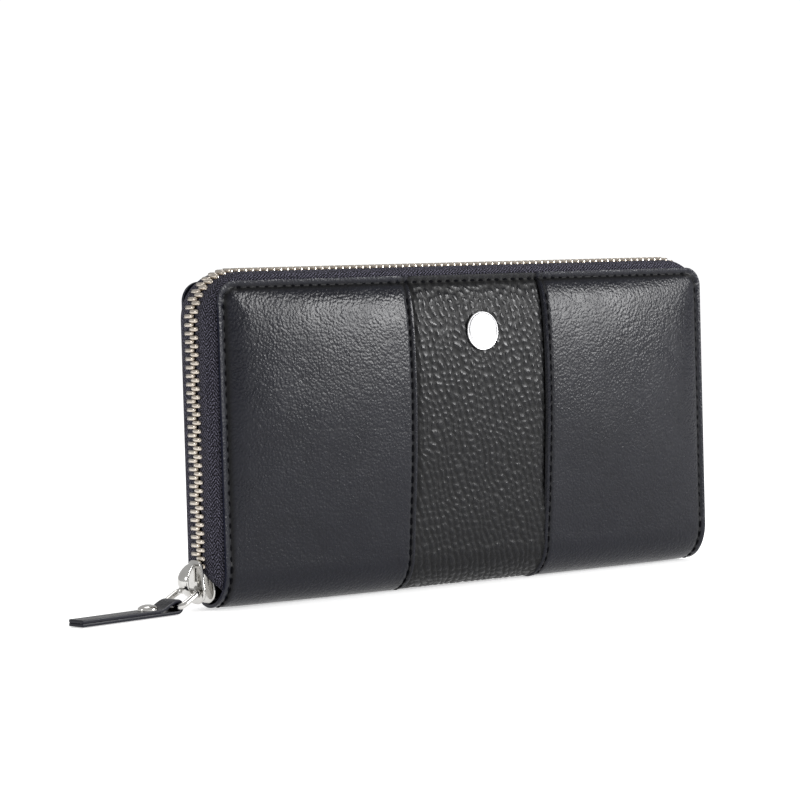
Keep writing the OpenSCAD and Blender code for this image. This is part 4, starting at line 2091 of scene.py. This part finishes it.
    def build(self) -> None:
        """Makes the pocket, its zip, its slider and its pull."""
        self.binding()
        for side in Side:
            self.leather_wall(side)
            self.tape(side)
            self.teeth(side)
        self.stops()
        turn = Matrix.Rotation(-math.pi / 2, 4, "Y")
        place = (Matrix.Translation((self.slider_x, 0, self.zip_z)) @ turn
                 @ Matrix.Scale(self.scale, 4) @ Matrix.Translation((0, 0, -6.5)))
        Slider("coin_slider", place, "coin_slider_body", "coin_slider_crown", arch_half=1.6).build()
        self.flat_pull(place)


# ---- studio -----------------------------------------------------------------------


@dataclass
class Studio:
    """Pale floor, soft lights and the camera."""

    target: Vector = field(default_factory=lambda: Vector((-14.1, 10.9, 58.1)))
    azimuth: float = math.radians(-36.05)
    elevation: float = math.radians(2.53)
    distance: float = 912.0
    roll: float = math.radians(-1.602)
    lens: float = 130.85
    backdrop: float = 1.06
    room: float = 0.55

    def camera(self) -> None:
        """Sets the camera."""
        a, e = self.azimuth, self.elevation
        back = Vector((math.sin(a) * math.cos(e), -math.cos(a) * math.cos(e), math.sin(e)))
        data = bpy.data.cameras.new("camera")
        data.lens, data.sensor_width = self.lens, 36.0
        data.clip_start, data.clip_end = 0.01, 20
        obj = bpy.data.objects.new("camera", data)
        bpy.context.scene.collection.objects.link(obj)
        right = (-back).cross(Vector((0, 0, 1))).normalized()
        up = right.cross(-back)
        c, s = math.cos(self.roll), math.sin(self.roll)
        turn = axes(right * c + up * s, up * c - right * s, back)
        obj.matrix_world = Matrix.Translation((self.target + back * self.distance) * MM) @ turn
        bpy.context.scene.camera = obj

    def light(self, name: str, place: Vector, aim: Vector, size: float, power: float) -> None:
        """A square soft light.

        Args:
            name: The light's name.
            place: Its position, in metres.
            aim: The point it faces, in metres.
            size: Its side, in metres.
            power: Its power, in watts.
        """
        data = bpy.data.lights.new(name, "AREA")
        data.size, data.energy = size, power
        obj = bpy.data.objects.new(name, data)
        bpy.context.scene.collection.objects.link(obj)
        turn = (aim - place).to_track_quat("-Z", "Y").to_matrix().to_4x4()
        obj.matrix_world = Matrix.Translation(place) @ turn

    def surroundings(self) -> None:
        """A white backdrop, which lights the wallet less than it shows."""
        world = bpy.data.worlds.new("studio")
        bpy.context.scene.world = world
        world.use_nodes = True
        tree = world.node_tree
        seen, dim = tree.nodes["Background"], tree.nodes.new("ShaderNodeBackground")
        seen.inputs["Color"].default_value = dim.inputs["Color"].default_value = (1, 1, 1, 1)
        seen.inputs["Strength"].default_value = self.backdrop
        dim.inputs["Strength"].default_value = self.room
        ray, mix = tree.nodes.new("ShaderNodeLightPath"), tree.nodes.new("ShaderNodeMixShader")
        tree.links.new(ray.outputs["Is Camera Ray"], mix.inputs["Fac"])
        tree.links.new(dim.outputs["Background"], mix.inputs[1])
        tree.links.new(seen.outputs["Background"], mix.inputs[2])
        tree.links.new(mix.outputs["Shader"], tree.nodes["World Output"].inputs["Surface"])

    def build(self) -> None:
        """Makes the floor, the lights, the surroundings and the camera."""
        deselect()
        bpy.ops.mesh.primitive_plane_add(size=30)
        floor = bpy.context.object
        floor.name = "floor"
        paint = Finish("floor", (0.97, 0.97, 0.97), (0.98, 0.98, 0.98), (0.8, 0.9), grain_mm=40,
                       depth_mm=0.01, specular=0.1).make()
        glow = paint.node_tree.nodes["Principled BSDF"].inputs
        glow["Emission Color"].default_value = (1, 1, 1, 1)
        glow["Emission Strength"].default_value = self.backdrop - 0.97 * self.room
        floor.data.materials.append(paint)
        floor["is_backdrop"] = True
        self.surroundings()
        aim = Vector((0, 0, 0.05))
        self.light("key", Vector((0.66, -0.86, 0.345)), aim, 0.36, 10.5)
        self.light("side", Vector((-1.2, 0.25, 0.4)), aim, 0.3, 2)
        self.light("top", Vector((0, 0.3, 1.3)), aim, 0.6, 3)
        bpy.context.scene.view_settings.view_transform = "Standard"
        self.camera()


def dress_frame() -> None:
    """Gives every CAD piece that still shows its procedural finish."""
    slots = {row["node"]: row["material_slot"] for row in frame["record"]["subparts"]}
    for name, obj in frame["nodes"].items():
        if not obj.hide_render:
            finish = FINISH_OF_SLOT[slots[name]]
            obj.data.materials.clear()
            obj.data.materials.append(finish.make())


def check_finishes() -> None:
    """Stops the script if a shown piece wears a material that wasn't made here."""
    own = set(MADE.values())
    plain = [o.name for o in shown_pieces() if not o.data.materials or set(o.data.materials) - own]
    if plain:
        raise ValueError(f"pieces without a finish of their own: {plain}")


def main() -> None:
    """Builds the wallet from the outside in, and reports each sub-assembly."""
    logging.basicConfig(level=logging.INFO)
    Studio().build()
    cover = Cover()
    for end in End:
        log.info("made %s", cover.side_panel(end).name)
    log.info("made %s", cover.band().name)
    log.info("made %d lines of stitches", len(cover.stitching()))
    chain = Zip(cover)
    for side in Side:
        log.info("made %s", cover.pad(side).name)
        log.info("made %s", chain.woven_tape(side).name)
        log.info("made %s", chain.teeth(side).name)
        log.info("made %s", chain.stops(side).name)
    low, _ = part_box("slider_body")
    flip = Matrix.Rotation(math.pi, 4, "Z")
    Slider("slider", Matrix.Translation((-chain.path_x - chain.bend, 0, low.z / MM)) @ flip, "slider_body",
           "slider_crown").build()
    Pull(Vector((-chain.path_x - chain.bend - CROWN_EYE[0], 0, low.z / MM + CROWN_EYE[2]))).build()
    log.info("made the slider and its pull")
    Badge(cover).build()
    CoinPocket(chain).build()
    Inside(cover).build()
    dress_frame()
    log.info("made the inside and dressed the frame")
    check_finishes()


if __name__ == "__main__":
    main()
